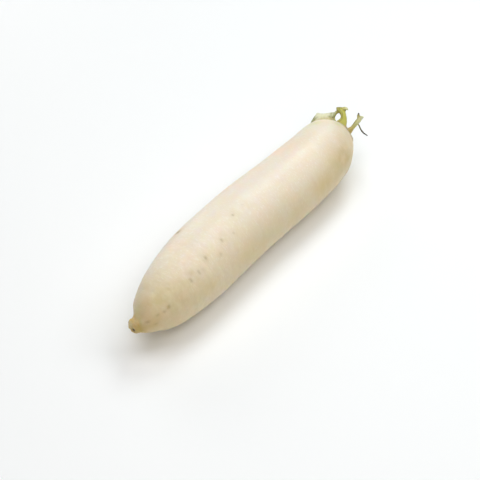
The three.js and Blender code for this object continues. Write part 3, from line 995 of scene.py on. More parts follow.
@dataclass
class RootSkin:
    """The root's skin: its form with growth rings, furrows, scars, a dried tail and a corky crown."""

    form: RootForm
    stalks: Sequence[Stalk]
    sectors: int = 208
    ring_step: float = 0.74        # between two rings of points, at most
    first_step: float = 0.3        # the same at the tail
    step_growth: float = 0.02
    end_rings: tuple[int, int, int] = (12, 52, 34)  # over the tail's tip, the shoulder and the dome
    # The scars that are placed one by one: a row along the near side, and one over the top.
    scars: Sequence[Scar] = (
        Scar(118, 12.5, 2.0, 0.6, 0.15, 0.15), Scar(105.2, 15.5, 1.3, 0.6, 0.2, 0.6),
        Scar(94.2, 36.5, 1.6, 0.6, 0.15, 0.2), Scar(81.5, 32, 2.6, 0.6, 0.2, 0.4),
        Scar(73, 46, 2.4, 0.8, 0.15, 0.25), Scar(61.8, 33, 2.8, 0.7, 0.2, 0.45),
        Scar(50.5, 41.5, 3.0, 0.7, 0.2, 0.32), Scar(42, 41.5, 3.2, 0.7, 0.25, 0.36),
        Scar(20.8, 51.5, 2.2, 0.9, 0.25, 0.5), Scar(17.5, 55, 1.8, 0.7, 0.2, 0.3),
        Scar(13.8, 51.5, 1.7, 0.8, 0.2, 0.35), Scar(11.2, 75, 1.4, 0.8, 0.2, 0.3),
        Scar(8.5, 54, 2.0, 0.9, 0.2, 0.5), Scar(75.0, 316, 4.4, 1.5, 0.3, 0.75),
    )
    # A brown line on the shoulder, made of marks that run into one another.
    crown_marks: Sequence[Scar] = (
        Scar(248.6, 31, 4.4, 1.0, 0.05, 0.35), Scar(248.5, 38, 5.0, 1.1, -0.1, 0.5),
        Scar(248.0, 45, 5.0, 1.2, -0.15, 0.65), Scar(247.4, 51, 5.0, 1.1, -0.1, 0.6),
        Scar(246.2, 57, 5.0, 1.1, -0.1, 0.6), Scar(244.8, 63, 5.0, 1.0, -0.05, 0.55),
        Scar(243.6, 69, 5.0, 0.9, 0.0, 0.4), Scar(242.9, 75, 4.4, 0.8, 0.0, 0.2),
    )
    tints: dict[str, Sequence[Tint]] = field(default_factory=lambda: dict(SKIN_TINTS))
    hollows: Sequence[Tint] = (Tint(245, 352, 6.0, 0.7), Tint(240, 100, 7.0, 0.6, 1.4))  # depth for strength
    swellings: Sequence[Swelling] = (
        Swelling(5.4, 3.0, 95, 1.25, 1.5), Swelling(2.2, 1.8, 322, 0.5, 0.9),
        Swelling(16, 7.0, 305, 0.7, -0.45),
    )
    body_waves: Sequence[Waves] = (
        Waves(0.14, (42, 30, 30), 3.1), Waves(0.07, (15, 11, 11), 8.7),  # lumps
        Waves(0.05, (60, 5.5, 5.5), 21.0),  # furrows
        Waves(0.075, (3.4, 2.6, 2.6), 27.0),  # dimples
    )
    ring_waves: Sequence[Waves] = (Waves(0.05, (2.3, 26, 26), 5.5), Waves(0.06, (5.2, 34, 34), 15.5))
    tail_wrinkles: Sequence[Waves] = (Waves(0.12, (1.3, 3.4, 3.4), 2.2), Waves(0.26, (5, 1.7, 1.7), 9.1))
    ragged: Waves = Waves(0.45, (1.6, 1.3, 1.3), 33.0)  # the scars' uneven edges
    halo_offset: float = 1.5       # the pale brown halo of a scar: how far it lies towards the crown
    halo_reach: float = 4.4
    halo_strength: float = 0.38
    crown_shade_gain: float = 0.45      # how much stronger the painted shade on the underside is at the crown than at the tail
    pit_at: tuple[float, float] = (1.7, -0.2)  # the pit in the tail's tip: to the right and up
    pit_reach: float = 1.25
    pit_depth: float = 0.7
    far_row_start: float = 16      # the second row of scars, opposite: its first place along the root
    far_row_step: float = 11.5
    far_row_end: float = 165
    far_row_angle: float = 235
    far_row_drift: float = 0.32    # degrees that it turns back for each millimetre
    faint_scars: int = 70

    def _far_scars(self) -> list[Scar]:
        """The row of scars on the far side of the root, which drifts round it as the near row does.

        The sines make it uneven, in the same way each time.

        Returns:
            The scars.
        """
        found = []
        place = self.far_row_start
        number = 0
        while place < self.far_row_end:
            angle = self.far_row_angle - self.far_row_drift * place + 7 * math.sin(2.1 * number)
            size = 0.7 + 0.3 * math.sin(1.7 * number)
            found.append(Scar(place, angle, 3.4 * size, 1.1 * size, 0.4 * size, 0.85 * size))
            place += self.far_row_step * (1 + 0.35 * math.sin(3.3 * number + 1))
            number += 1
        return found

    def _faint_scars(self) -> list[Scar]:
        """Faint little slits, scattered over the sides and the underside of the root by sines as well.

        Returns:
            The slits.
        """
        found = []
        for number in range(self.faint_scars):
            place = 12 + 3.3 * number + 2.2 * math.sin(4.7 * number)
            turn = 137.5 * number + 60
            length = 2.8 + 1.5 * math.sin(2.3 * number)
            stain = 0.17 + 0.09 * math.sin(1.3 * number)
            if math.cos(math.radians(turn - 25)) < 0.1:
                found.append(Scar(place, turn, length, width=0.6, depth=0.1, colour=stain))
        return found

    def rings(self) -> tuple[Array, Array, Array]:
        """Chooses the rings of points round the root.

        Returns:
            For each ring, its place along the centre line, how far it stands out along the heading there,
            and the share of the root's radius that it has.
        """
        form = self.form
        quarter = math.pi / 2
        over_tip, over_shoulder, over_dome = (np.linspace(0, quarter, count) for count in self.end_rings)
        tail = [(0.0, -form.tail_cap * math.cos(a), math.sin(a)) for a in over_tip[1:-1]]
        places = [0.0]
        while places[-1] < form.shoulder_start - self.ring_step / 2:
            step = self.first_step + self.step_growth * places[-1]
            places.append(places[-1] + min(self.ring_step, step))
        body = [(p, 0.0, 1.0) for p in places[:-1]]
        length = form.shoulder_end - form.shoulder_start
        shoulder = [(form.shoulder_start + length * s, 0.0, 1.0) for s in np.sin(over_shoulder)]
        dome = [(form.shoulder_end, form.crown_dome * math.sin(a), math.cos(a)) for a in over_dome[1:-1]]
        place, out, share = np.array(tail + body + shoulder + dome).T
        return place, out, share

    def build(self, origin: Array) -> bpy.types.Object:
        """Makes the skin.

        Args:
            origin: The frame's origin in the root's space, in millimetres.

        Returns:
            The finished object.
        """
        form = self.form
        place, out, share = self.rings()
        angle = 2 * math.pi * (np.arange(self.sectors) + 0.5) / self.sectors
        heading = form.heading(place)
        right, up = form.across(heading)
        middle = form.centre(place) + heading * out[:, None]
        p, a = np.meshgrid(place, angle, indexing="ij")
        size = (form.radius(p) + form.swell(p, a)) * share[:, None]
        points = middle[:, None] + right[:, None] * (size * np.sin(a))[..., None]
        points += up[:, None] * (size * np.cos(a))[..., None]
        run = np.concatenate([[0], np.cumsum(np.linalg.norm(np.diff(points[:, 0], axis=0), axis=1))])
        grain = np.stack([run[:, None] + 0 * a, size * np.sin(a), size * np.cos(a)], -1)
        normal = self._normals(points)
        height, masks = self._relief(p, a, size, grain, points)
        points = points + normal * height[..., None]
        points[..., 2] = np.maximum(points[..., 2], form.rest_height)
        masks["grain"] = grain
        return self._mesh(points, masks, origin)

    @staticmethod
    def _normals(points: Array) -> Array:
        """Which way the skin faces at each point of the grid."""
        round_it = np.roll(points, -1, 1) - np.roll(points, 1, 1)
        return unit(np.cross(round_it, np.gradient(points, axis=0)))

    def _relief(
        self, place: Array, angle: Array, size: Array, grain: Array, points: Array
    ) -> tuple[Array, Masks]:
        """Works out the fine relief of the skin.

        Args:
            place: Place along the root of each point of the grid.
            angle: Its angle round the root.
            size: Its distance from the centre line.
            grain: Its place in the straightened root.
            points: Its place in the root's space.

        Returns:
            How far each point stands out from the plain form, and the masks of the points.
        """
        body = sum(waves.over(grain) for waves in self.body_waves)
        rings = sum(waves.over(grain) for waves in self.ring_waves)
        hollows = self._tinted(self.hollows, place, angle, size)
        height = ramp(place, 4, 30) * body + rings - hollows
        scar, halo, mark_stain = (np.zeros_like(place) for _ in range(3))
        uneven = place + self.ragged.over(grain)
        for mark in (*self.scars, *self._far_scars(), *self._faint_scars()):
            dent, stain = mark.over(uneven, angle, size)
            height += dent
            scar = np.maximum(scar, stain)
            along = place - mark.place - self.halo_offset
            apart = np.hypot(along, turn_between(angle, mark.angle) * size)
            halo = np.maximum(halo, min(self.halo_strength, mark.colour) * bump(apart, self.halo_reach))
        for mark in self.crown_marks:
            dent, stain = mark.over(place, angle, size)
            height += dent
            mark_stain = np.maximum(mark_stain, stain)
        tail_height, tail_masks = self._tail(place, angle, grain)
        crown_height, crown_masks = CrownSkin(self.form, self.stalks).relief(place, points)
        # Painted shade: the underside is coloured darker and yellower, as if in shade, and more so towards
        # the crown.
        underside_shade = (1 - np.cos(angle)) / 2 * (1 + self.crown_shade_gain * ramp(place, 130, 240))
        masks = {"scar": scar, "below": underside_shade, **tail_masks, **crown_masks}
        masks["cork"] = np.maximum(masks["cork"], mark_stain)
        masks["tanned_and_shaded"] = halo
        for colour, tints in self.tints.items():
            masks[colour] = np.maximum(masks.get(colour, 0), self._tinted(tints, place, angle, size))
        return height + tail_height + crown_height, masks

    @staticmethod
    def _tinted(tints: Sequence[Tint], place: Array, angle: Array, size: Array) -> Array:
        """How strongly each point is tinted by a list of soft patches.

        Args:
            tints: The soft patches.
            place: Place along the root of each point.
            angle: Its angle round the root.
            size: Its distance from the centre line.

        Returns:
            Strengths from 0 to 1.
        """
        return np.maximum.reduce([tint.over(place, angle, size) for tint in tints])

    def _tail(self, place: Array, angle: Array, grain: Array) -> tuple[Array, Masks]:
        """The shrunken, wrinkled end of the tail, with a dark pit where its tip broke off.

        Args:
            place: Place along the root of each point.
            angle: Its angle round the root.
            grain: Its place in the straightened root.

        Returns:
            How far each point stands out from the plain form, and the masks of the points.
        """
        wrinkles = (1 - ramp(place, 2, 9)) * sum(waves.over(grain) for waves in self.tail_wrinkles)
        right, up = self.pit_at
        pit = bump(np.hypot(grain[..., 1] - right, grain[..., 2] - up), self.pit_reach)
        pit *= 1 - ramp(place, 0.2, 2.4)
        masks = {"tail": 1 - ramp(place, 0, 55), "nub": 1 - ramp(place, 1, 10.5), "pit": pit}
        swollen = sum(swelling.over(place, angle) for swelling in self.swellings)
        return wrinkles - self.pit_depth * pit + swollen, masks

    def _mesh(self, points: Array, masks: Masks, origin: Array) -> bpy.types.Object:
        """Closes the grid of points at both ends and makes it a mesh.

        Args:
            points: The grid, ring by ring.
            masks: The masks of its points.
            origin: The frame's origin in the root's space, in millimetres.

        Returns:
            The object.
        """
        rows, columns = points.shape[:2]
        flat = points.reshape(-1, 3)
        flat = np.concatenate([flat, points[:1].mean(1), points[-1:].mean(1)])
        closed = {}
        for key, values in masks.items():
            wide = values.reshape(rows * columns, *values.shape[2:])
            closed[key] = np.concatenate([wide, values[:1].mean(1), values[-1:].mean(1)])
        tip, top = rows * columns, rows * columns + 1
        index = np.arange(rows * columns).reshape(rows, columns)
        beside = np.roll(index, -1, 1)
        quads = np.stack([index[:-1], beside[:-1], beside[1:], index[1:]], -1).reshape(-1, 4)
        faces = quads.tolist()
        for i in range(columns):
            faces.append((tip, int(beside[0, i]), int(index[0, i])))
            faces.append((top, int(index[-1, i]), int(beside[-1, i])))
        return make_piece("root_skin", flat, faces, closed, origin)


# ---------------------------------------------------------------- shader node groups


class Nodes:
    """Adds nodes to one node tree, with their inputs either set or linked."""

    def __init__(self, tree: bpy.types.NodeTree) -> None:
        """Starts on a tree."""
        self.tree = tree

    def add(self, kind: str, inputs: dict | None = None, **settings: object) -> bpy.types.Node:
        """Adds a node.

        Args:
            kind: Its type, without the leading "ShaderNode".
            inputs: A value or an output socket for each input, by name or number.
            settings: Its other properties.

        Returns:
            The new node.
        """
        node = self.tree.nodes.new(f"ShaderNode{kind}")
        for key, value in settings.items():
            setattr(node, key, value)
        self.feed(node, inputs or {})
        return node

    def feed(self, node: bpy.types.Node, inputs: dict) -> None:
        """Sets or links inputs of a node, by name or number.

        Args:
            node: The node.
            inputs: A value or an output socket for each input.
        """
        for key, value in inputs.items():
            if isinstance(value, bpy.types.NodeSocket):
                self.tree.links.new(value, node.inputs[key])
            else:
                node.inputs[key].default_value = value

    def math(self, operation: str, *values: object, clamp: bool = False) -> bpy.types.NodeSocket:
        """One step of arithmetic on values."""
        return self.add("Math", dict(enumerate(values)), operation=operation, use_clamp=clamp).outputs[0]

    def mask(self, name: str) -> bpy.types.NodeSocket:
        """A mask of the mesh, by its name."""
        return self.add("Attribute", attribute_name=name).outputs["Fac"]

    def broken(self, name: str, pattern: object, least: float, most: float) -> bpy.types.NodeSocket:
        """A mask of the mesh, times a pattern that runs from a least to a most instead of from 0 to 1.

        Args:
            name: The mask.
            pattern: Values from 0 to 1.
            least: What the pattern's 0 becomes.
            most: What its 1 becomes.

        Returns:
            The broken mask.
        """
        uneven = self.math("MULTIPLY_ADD", pattern, most - least, least)
        return self.math("MULTIPLY", self.mask(name), uneven)

    def mix(self, share: object, under: object, over: object) -> bpy.types.NodeSocket:
        """Lays one colour over another by a share, which is kept from 0 to 1.

        Args:
            share: How much the upper colour covers.
            under: The lower colour.
            over: The upper one.

        Returns:
            The colour.
        """
        node = self.add("Mix", {0: share}, data_type="RGBA", clamp_factor=True)
        for slot, colour in ((6, under), (7, over)):
            self.feed(node, {slot: (*colour, 1.0) if isinstance(colour, tuple) else colour})
        return node.outputs[2]

    def coats(self, colour: object, layers: Sequence[tuple[object, float, Colour]]) -> bpy.types.NodeSocket:
        """Lays colours over one another.

        Args:
            colour: The lowest one.
            layers: For each of the others, from below, its share, how strong it is and the colour.

        Returns:
            The finished colour.
        """
        for share, strength, over in layers:
            colour = self.mix(self.math("MULTIPLY", share, strength), colour, over)
        return colour


class Effect(Enum):
    """The effects that more than one material uses, by the name of their node group."""

    STREAKS = "growth streaks"
    MOTTLE = "soft mottling"
    PORES = "fine pores"


class EffectShelf:
    """Builds each shared node group once and places it in materials."""

    def __init__(self) -> None:
        """Builds all the groups."""
        self.groups = {
            Effect.STREAKS: self._streaks(),
            Effect.MOTTLE: self._mottle(),
            Effect.PORES: self._pores(),
        }

    @staticmethod
    def _group(effect: Effect, inputs: dict[str, float]) -> tuple[Nodes, bpy.types.Node, bpy.types.Node]:
        """Starts a group with a vector input, the named number inputs and one value output.

        Args:
            effect: Which effect it is.
            inputs: A default for each number input, by name.

        Returns:
            The group's nodes, its input node and its output node.
        """
        tree = bpy.data.node_groups.new(effect.value, "ShaderNodeTree")
        tree.interface.new_socket("Grain", in_out="INPUT", socket_type="NodeSocketVector")
        for name, value in inputs.items():
            socket = tree.interface.new_socket(name, in_out="INPUT", socket_type="NodeSocketFloat")
            socket.default_value = value
        tree.interface.new_socket("Value", in_out="OUTPUT", socket_type="NodeSocketFloat")
        return Nodes(tree), tree.nodes.new("NodeGroupInput"), tree.nodes.new("NodeGroupOutput")

    @staticmethod
    def _shrunk(nodes: Nodes, grain: object, size: object) -> bpy.types.NodeSocket:
        """The place in the grain, measured in a size."""
        share = nodes.math("DIVIDE", 1.0, size)
        return nodes.add("VectorMath", {0: grain, "Scale": share}, operation="SCALE").outputs[0]

    @staticmethod
    def _noise(
        nodes: Nodes, place: object, detail: float, roughness: float, contrast: object
    ) -> bpy.types.NodeSocket:
        """Noise at a place, its contrast stretched about the middle and cut off at 0 and 1.

        Args:
            nodes: The group's nodes.
            place: Where to look, as a vector.
            detail: How many finer layers the noise has.
            roughness: How strong the finer ones are.
            contrast: How many times its contrast is stretched.

        Returns:
            The value.
        """
        settings = {"Vector": place, "Scale": 1.0, "Detail": detail, "Roughness": roughness}
        centred = nodes.math("SUBTRACT", nodes.add("TexNoise", settings).outputs[0], 0.5)
        return nodes.math("ADD", nodes.math("MULTIPLY", centred, contrast), 0.5, clamp=True)

    def _streaks(self) -> bpy.types.NodeTree:
        """Streaks of one length along the grain and another across it.

        Returns:
            The finished group.
        """
        nodes, given, result = self._group(Effect.STREAKS, {"Along": 10.0, "Across": 1.0, "Sharpness": 2.0})
        parts = nodes.add("SeparateXYZ", {0: given.outputs["Grain"]}).outputs
        sizes = (given.outputs[name] for name in ("Along", "Across", "Across"))
        shares = [nodes.math("DIVIDE", part, size) for part, size in zip(parts, sizes)]
        place = nodes.add("CombineXYZ", dict(enumerate(shares))).outputs[0]
        nodes.feed(result, {0: self._noise(nodes, place, 3.0, 0.55, given.outputs["Sharpness"])})
        return nodes.tree

    def _mottle(self) -> bpy.types.NodeTree:
        """Soft patches of one size.

        Returns:
            The finished group.
        """
        nodes, given, result = self._group(Effect.MOTTLE, {"Size": 20.0, "Contrast": 2.0, "Seed": 0.0})
        place = self._shrunk(nodes, given.outputs["Grain"], given.outputs["Size"])
        moved = nodes.add("VectorMath", {0: place, 1: given.outputs["Seed"]}, operation="ADD").outputs[0]
        nodes.feed(result, {0: self._noise(nodes, moved, 4.0, 0.5, given.outputs["Contrast"])})
        return nodes.tree

    def _pores(self) -> bpy.types.NodeTree:
        """Scattered small spots: 1 in each spot and 0 between them.

        Returns:
            The finished group.
        """
        nodes, given, result = self._group(Effect.PORES, {"Spacing": 3.0, "Size": 0.25})
        place = self._shrunk(nodes, given.outputs["Grain"], given.outputs["Spacing"])
        away = nodes.add("TexVoronoi", {"Vector": place, "Scale": 1.0}, feature="F1").outputs["Distance"]
        share = nodes.math("DIVIDE", away, given.outputs["Size"])
        nodes.feed(result, {0: nodes.math("SUBTRACT", 1.0, share, clamp=True)})
        return nodes.tree

    def place(self, nodes: Nodes, effect: Effect, grain: object, **values: float) -> bpy.types.NodeSocket:
        """Puts an effect in a material.

        Args:
            nodes: The material's nodes.
            effect: Which effect.
            grain: The place in the grain, as a vector socket.
            values: The group's number inputs, by name.

        Returns:
            The effect's value.
        """
        return nodes.add("Group", {"Grain": grain, **values}, node_tree=self.groups[effect]).outputs[0]


# ---------------------------------------------------------------- finishes


def start_material(name: str) -> tuple[bpy.types.Material, Nodes, bpy.types.Node]:
    """A new material with its nodes and its one surface shader.

    Args:
        name: The material's name.

    Returns:
        The material, its nodes and the shader.
    """
    material = bpy.data.materials.new(name)
    material.use_nodes = True
    nodes = Nodes(material.node_tree)
    shader = next(n for n in material.node_tree.nodes if n.type == "BSDF_PRINCIPLED")
    return material, nodes, shader


@dataclass(frozen=True)
class Flesh:
    """How light sinks into a piece, and how strong its finest relief is. Lengths are metres."""

    weight: float
    radius: Colour
    depth: float
    relief_strength: float
    relief_height: float
    ior: float = 1.42

    def dress(
        self, nodes: Nodes, shader: bpy.types.Node, colour: object, rough: object, relief: object
    ) -> None:
        """Joins a finish's colour, roughness and relief to its shader.

        Args:
            nodes: The material's nodes.
            shader: Its surface shader.
            colour: The colour.
            rough: The roughness.
            relief: The height of the finest relief.
        """
        settings = {"Height": relief, "Strength": self.relief_strength, "Distance": self.relief_height}
        nodes.feed(shader, {
            "Base Color": colour,
            "Roughness": rough,
            "Normal": nodes.add("Bump", settings).outputs[0],
            "Subsurface Weight": self.weight,
            "Subsurface Radius": self.radius,
            "Subsurface Scale": self.depth,
            "IOR": self.ior,
        })


@dataclass(frozen=True)
class RootFinish:
    """The washed, waxy skin of the root. Colours are linear red, green and blue."""

    ivory: Colour = (0.80, 0.715, 0.595)
    cream: Colour = (0.83, 0.765, 0.69)
    blush: Colour = (0.83, 0.70, 0.54)
    peach: Colour = (0.86, 0.69, 0.53)
    straw: Colour = (0.78, 0.68, 0.47)
    # painted shade: the darker, yellower colour of the underside
    underside_shade: Colour = (0.73, 0.59, 0.30)
    # khaki: partly the skin's own tint, partly painted shade on the right flank
    khaki_and_shade: Colour = (0.68, 0.54, 0.22)
    tan: Colour = (0.63, 0.50, 0.25)
    nub: Colour = (0.50, 0.37, 0.14)
    stain: Colour = (0.40, 0.30, 0.14)
    pit: Colour = (0.035, 0.025, 0.015)
    green: Colour = (0.66, 0.64, 0.26)
    cork: Colour = (0.30, 0.19, 0.08)
    # whitish specks of the skin, and painted glints that break up the highlight
    speck_and_glint: Colour = (0.90, 0.87, 0.82)
    roughness: float = 0.31     # where it is smoothest
    flesh: Flesh = Flesh(1.0, (1.0, 0.6, 0.3), 0.006, relief_strength=0.4, relief_height=0.06 * MM)

    def make(self, shelf: EffectShelf) -> bpy.types.Material:
        """Makes the material.

        Args:
            shelf: The shared effects.

        Returns:
            The material.
        """
        material, nodes, shader = start_material(Slot.SKIN.value)
        grain = nodes.add("Attribute", attribute_name="grain").outputs["Vector"]
        patches = shelf.place(nodes, Effect.MOTTLE, grain, Size=26.0, Contrast=2.6, Seed=1.0)
        blush = shelf.place(nodes, Effect.MOTTLE, grain, Size=13.0, Contrast=3.2, Seed=5.0)
        straw = shelf.place(nodes, Effect.MOTTLE, grain, Size=8.0, Contrast=3.0, Seed=9.0)
        rings = shelf.place(nodes, Effect.STREAKS, grain, Along=1.5, Across=22.0, Sharpness=1.2)
        furrows = shelf.place(nodes, Effect.STREAKS, grain, Along=34.0, Across=3.0, Sharpness=1.2)
        pores = shelf.place(nodes, Effect.PORES, grain, Spacing=3.6, Size=0.16)
        dashes = shelf.place(nodes, Effect.STREAKS, grain, Along=0.8, Across=2.4, Sharpness=3.0)
        # Whitish dashes round the root: pale specks of the skin, and painted glints that break up the
        # highlight.
        specks_and_glints = nodes.math("MULTIPLY", nodes.math("SUBTRACT", dashes, 0.62), 2.4, clamp=True)

        lines = nodes.math("MULTIPLY", nodes.math("SUBTRACT", 0.8, rings), 0.4, clamp=True)
        colour = nodes.coats(nodes.mix(patches, self.ivory, self.cream), (
            (blush, 0.45, self.blush),
            (straw, 0.22, self.straw),
            (lines, 1.0, self.straw),
            (furrows, 0.1, self.straw),
            (pores, 0.3, self.tan),
            # pale specks and painted glints
            (specks_and_glints, 0.5, self.speck_and_glint),
            # painted shade on the underside
            (nodes.broken("below", patches, 0.5, 0.9), 1.0, self.underside_shade),
            # painted highlight: the whiter stripe along the top
            (nodes.mask("pale"), 1.0, self.cream),
            # khaki patches, partly painted shade on the right flank
            (nodes.broken("khaki_and_shade", patches, 0.75, 1.25), 1.0, self.khaki_and_shade),
            (nodes.broken("peach", blush, 0.25, 1.25), 1.0, self.peach),
            (nodes.mask("tail"), 0.6, self.tan),
            # tan stains round the scars and tail, and painted shade on the top of the tail
            (nodes.broken("tanned_and_shaded", straw, 0.3, 1.3), 1.0, self.tan),
            (nodes.broken("nub", straw, 0.35, 1.35), 1.0, self.nub),
            (nodes.mask("green"), 0.75, self.green),
            (nodes.mask("cork"), 1.0, self.cork),
            (nodes.mask("scar"), 1.0, self.stain),
            (nodes.mask("pit"), 1.0, self.pit),
        ))

        dull = nodes.math("ADD", nodes.mask("cork"), nodes.mask("nub"), clamp=True)
        shine = shelf.place(nodes, Effect.MOTTLE, grain, Size=3.4, Contrast=3.0, Seed=17.0)
        varied = nodes.math("MULTIPLY_ADD", shine, 0.18, self.roughness)
        rough = nodes.math("ADD", varied, nodes.math("MULTIPLY", dull, 0.25), clamp=True)

        speckle = shelf.place(nodes, Effect.MOTTLE, grain, Size=1.9, Contrast=1.0, Seed=13.0)
        relief = rings
        for pattern, height in ((furrows, 0.6), (speckle, 1.2), (dashes, 0.5), (pores, -1.2)):
            relief = nodes.math("ADD", relief, nodes.math("MULTIPLY", pattern, height))
        self.flesh.dress(nodes, shader, colour, rough, relief)
        return material


@dataclass(frozen=True)
class StalkFinish:
    """A leaf stalk's fibrous skin and its paler cut face. Colours are linear red, green and blue."""

    slot: Slot
    low: Colour       # near its foot
    high: Colour      # near its cut end
    vein: Colour      # between its ribs
    pith: Colour      # its cut face
    strand: Colour = (0.42, 0.44, 0.12)
    foot: Colour = (0.50, 0.36, 0.14)
    dried: Colour = (0.075, 0.05, 0.045)
    rim: Colour = (0.34, 0.34, 0.08)  # its two thin edges and its dark bands
    light: Colour = (0.72, 0.74, 0.42)  # a paler stalk
    browned: Colour = (0.22, 0.17, 0.07)  # where its cut edge has dried
    foot_share: float = 0.5  # how strong the stain of its foot is
    roughness: float = 0.37  # where it is smoothest
    flesh: Flesh = Flesh(0.45, (0.9, 1.0, 0.35), 0.0012, relief_strength=0.35, relief_height=0.05 * MM)

    def make(self, shelf: EffectShelf) -> bpy.types.Material:
        """Makes the material.

        Args:
            shelf: The shared effects.

        Returns:
            The material.
        """
        material, nodes, shader = start_material(self.slot.value)
        grain = nodes.add("Attribute", attribute_name="grain").outputs["Vector"]
        fibres = shelf.place(nodes, Effect.STREAKS, grain, Along=9.0, Across=0.35, Sharpness=2.6)
        stripes = shelf.place(nodes, Effect.STREAKS, grain, Along=16.0, Across=1.1, Sharpness=3.4)
        patches = shelf.place(nodes, Effect.MOTTLE, grain, Size=3.2, Contrast=2.8, Seed=3.0)
        pores = shelf.place(nodes, Effect.PORES, grain, Spacing=0.9, Size=0.2)
        rise = nodes.math("ADD", nodes.mask("rise"), nodes.math("MULTIPLY", patches, 0.4), clamp=True)
        colour = nodes.coats(nodes.mix(rise, self.low, self.high), (
            (nodes.math("SUBTRACT", 1.0, nodes.mask("ridge")), 0.35, self.vein),
            (fibres, 0.35, self.vein),
            (patches, 0.25, self.high),
            (nodes.mask("pale"), 1.0, self.light),
            (stripes, 0.4, self.low),
            (nodes.mask("edge"), 0.6, self.rim),
            (nodes.broken("band", patches, 0.6, 1.6), 1.0, self.rim),
            (nodes.mask("foot"), self.foot_share, self.foot),
            (nodes.mask("cut"), 1.0, self.pith),
            (nodes.mask("browned"), 0.7, self.browned),
            (nodes.mask("strand"), 0.7, self.strand),
            (nodes.mask("dry"), 0.95, self.dried),
        ))
        rough = nodes.math("MULTIPLY_ADD", patches, 0.18, self.roughness)
        relief = nodes.math("SUBTRACT", fibres, nodes.math("MULTIPLY", pores, 0.5))
        self.flesh.dress(nodes, shader, colour, rough, relief)
        return material


PALE_STALK = StalkFinish(
    Slot.PALE, low=(0.62, 0.60, 0.29), high=(0.83, 0.82, 0.61), vein=(0.88, 0.86, 0.69),
    pith=(0.88, 0.90, 0.72), rim=(0.24, 0.25, 0.06),
)
OLIVE_STALK = StalkFinish(
    Slot.OLIVE, low=(0.48, 0.45, 0.08), high=(0.44, 0.42, 0.055), vein=(0.58, 0.55, 0.12),
    pith=(0.56, 0.55, 0.22), light=(0.80, 0.80, 0.52), rim=(0.27, 0.24, 0.06), foot_share=0.35,
)
BUD_GREEN = StalkFinish(
    Slot.BUD, low=(0.55, 0.58, 0.20), high=(0.42, 0.52, 0.10), vein=(0.66, 0.70, 0.30),
    pith=(0.74, 0.78, 0.42), foot_share=0.2,
)


# ---------------------------------------------------------------- the studio


@dataclass(frozen=True)
class Light:
    """A soft square lamp that looks at the middle of the object, from a bearing and a height in degrees."""

    name: str
    bearing: float
    height: float
    power: float                 # watts
    colour: Colour = (1.0, 1.0, 1.0)
    size: float = 0.7            # metres
    distance: float = 1.2

    def place(self) -> Vector:
        """Where the lamp hangs."""
        turn, rise = math.radians(self.bearing), math.radians(self.height)
        flat = math.cos(rise)
        return Vector((math.cos(turn) * flat, math.sin(turn) * flat, math.sin(rise))) * self.distance


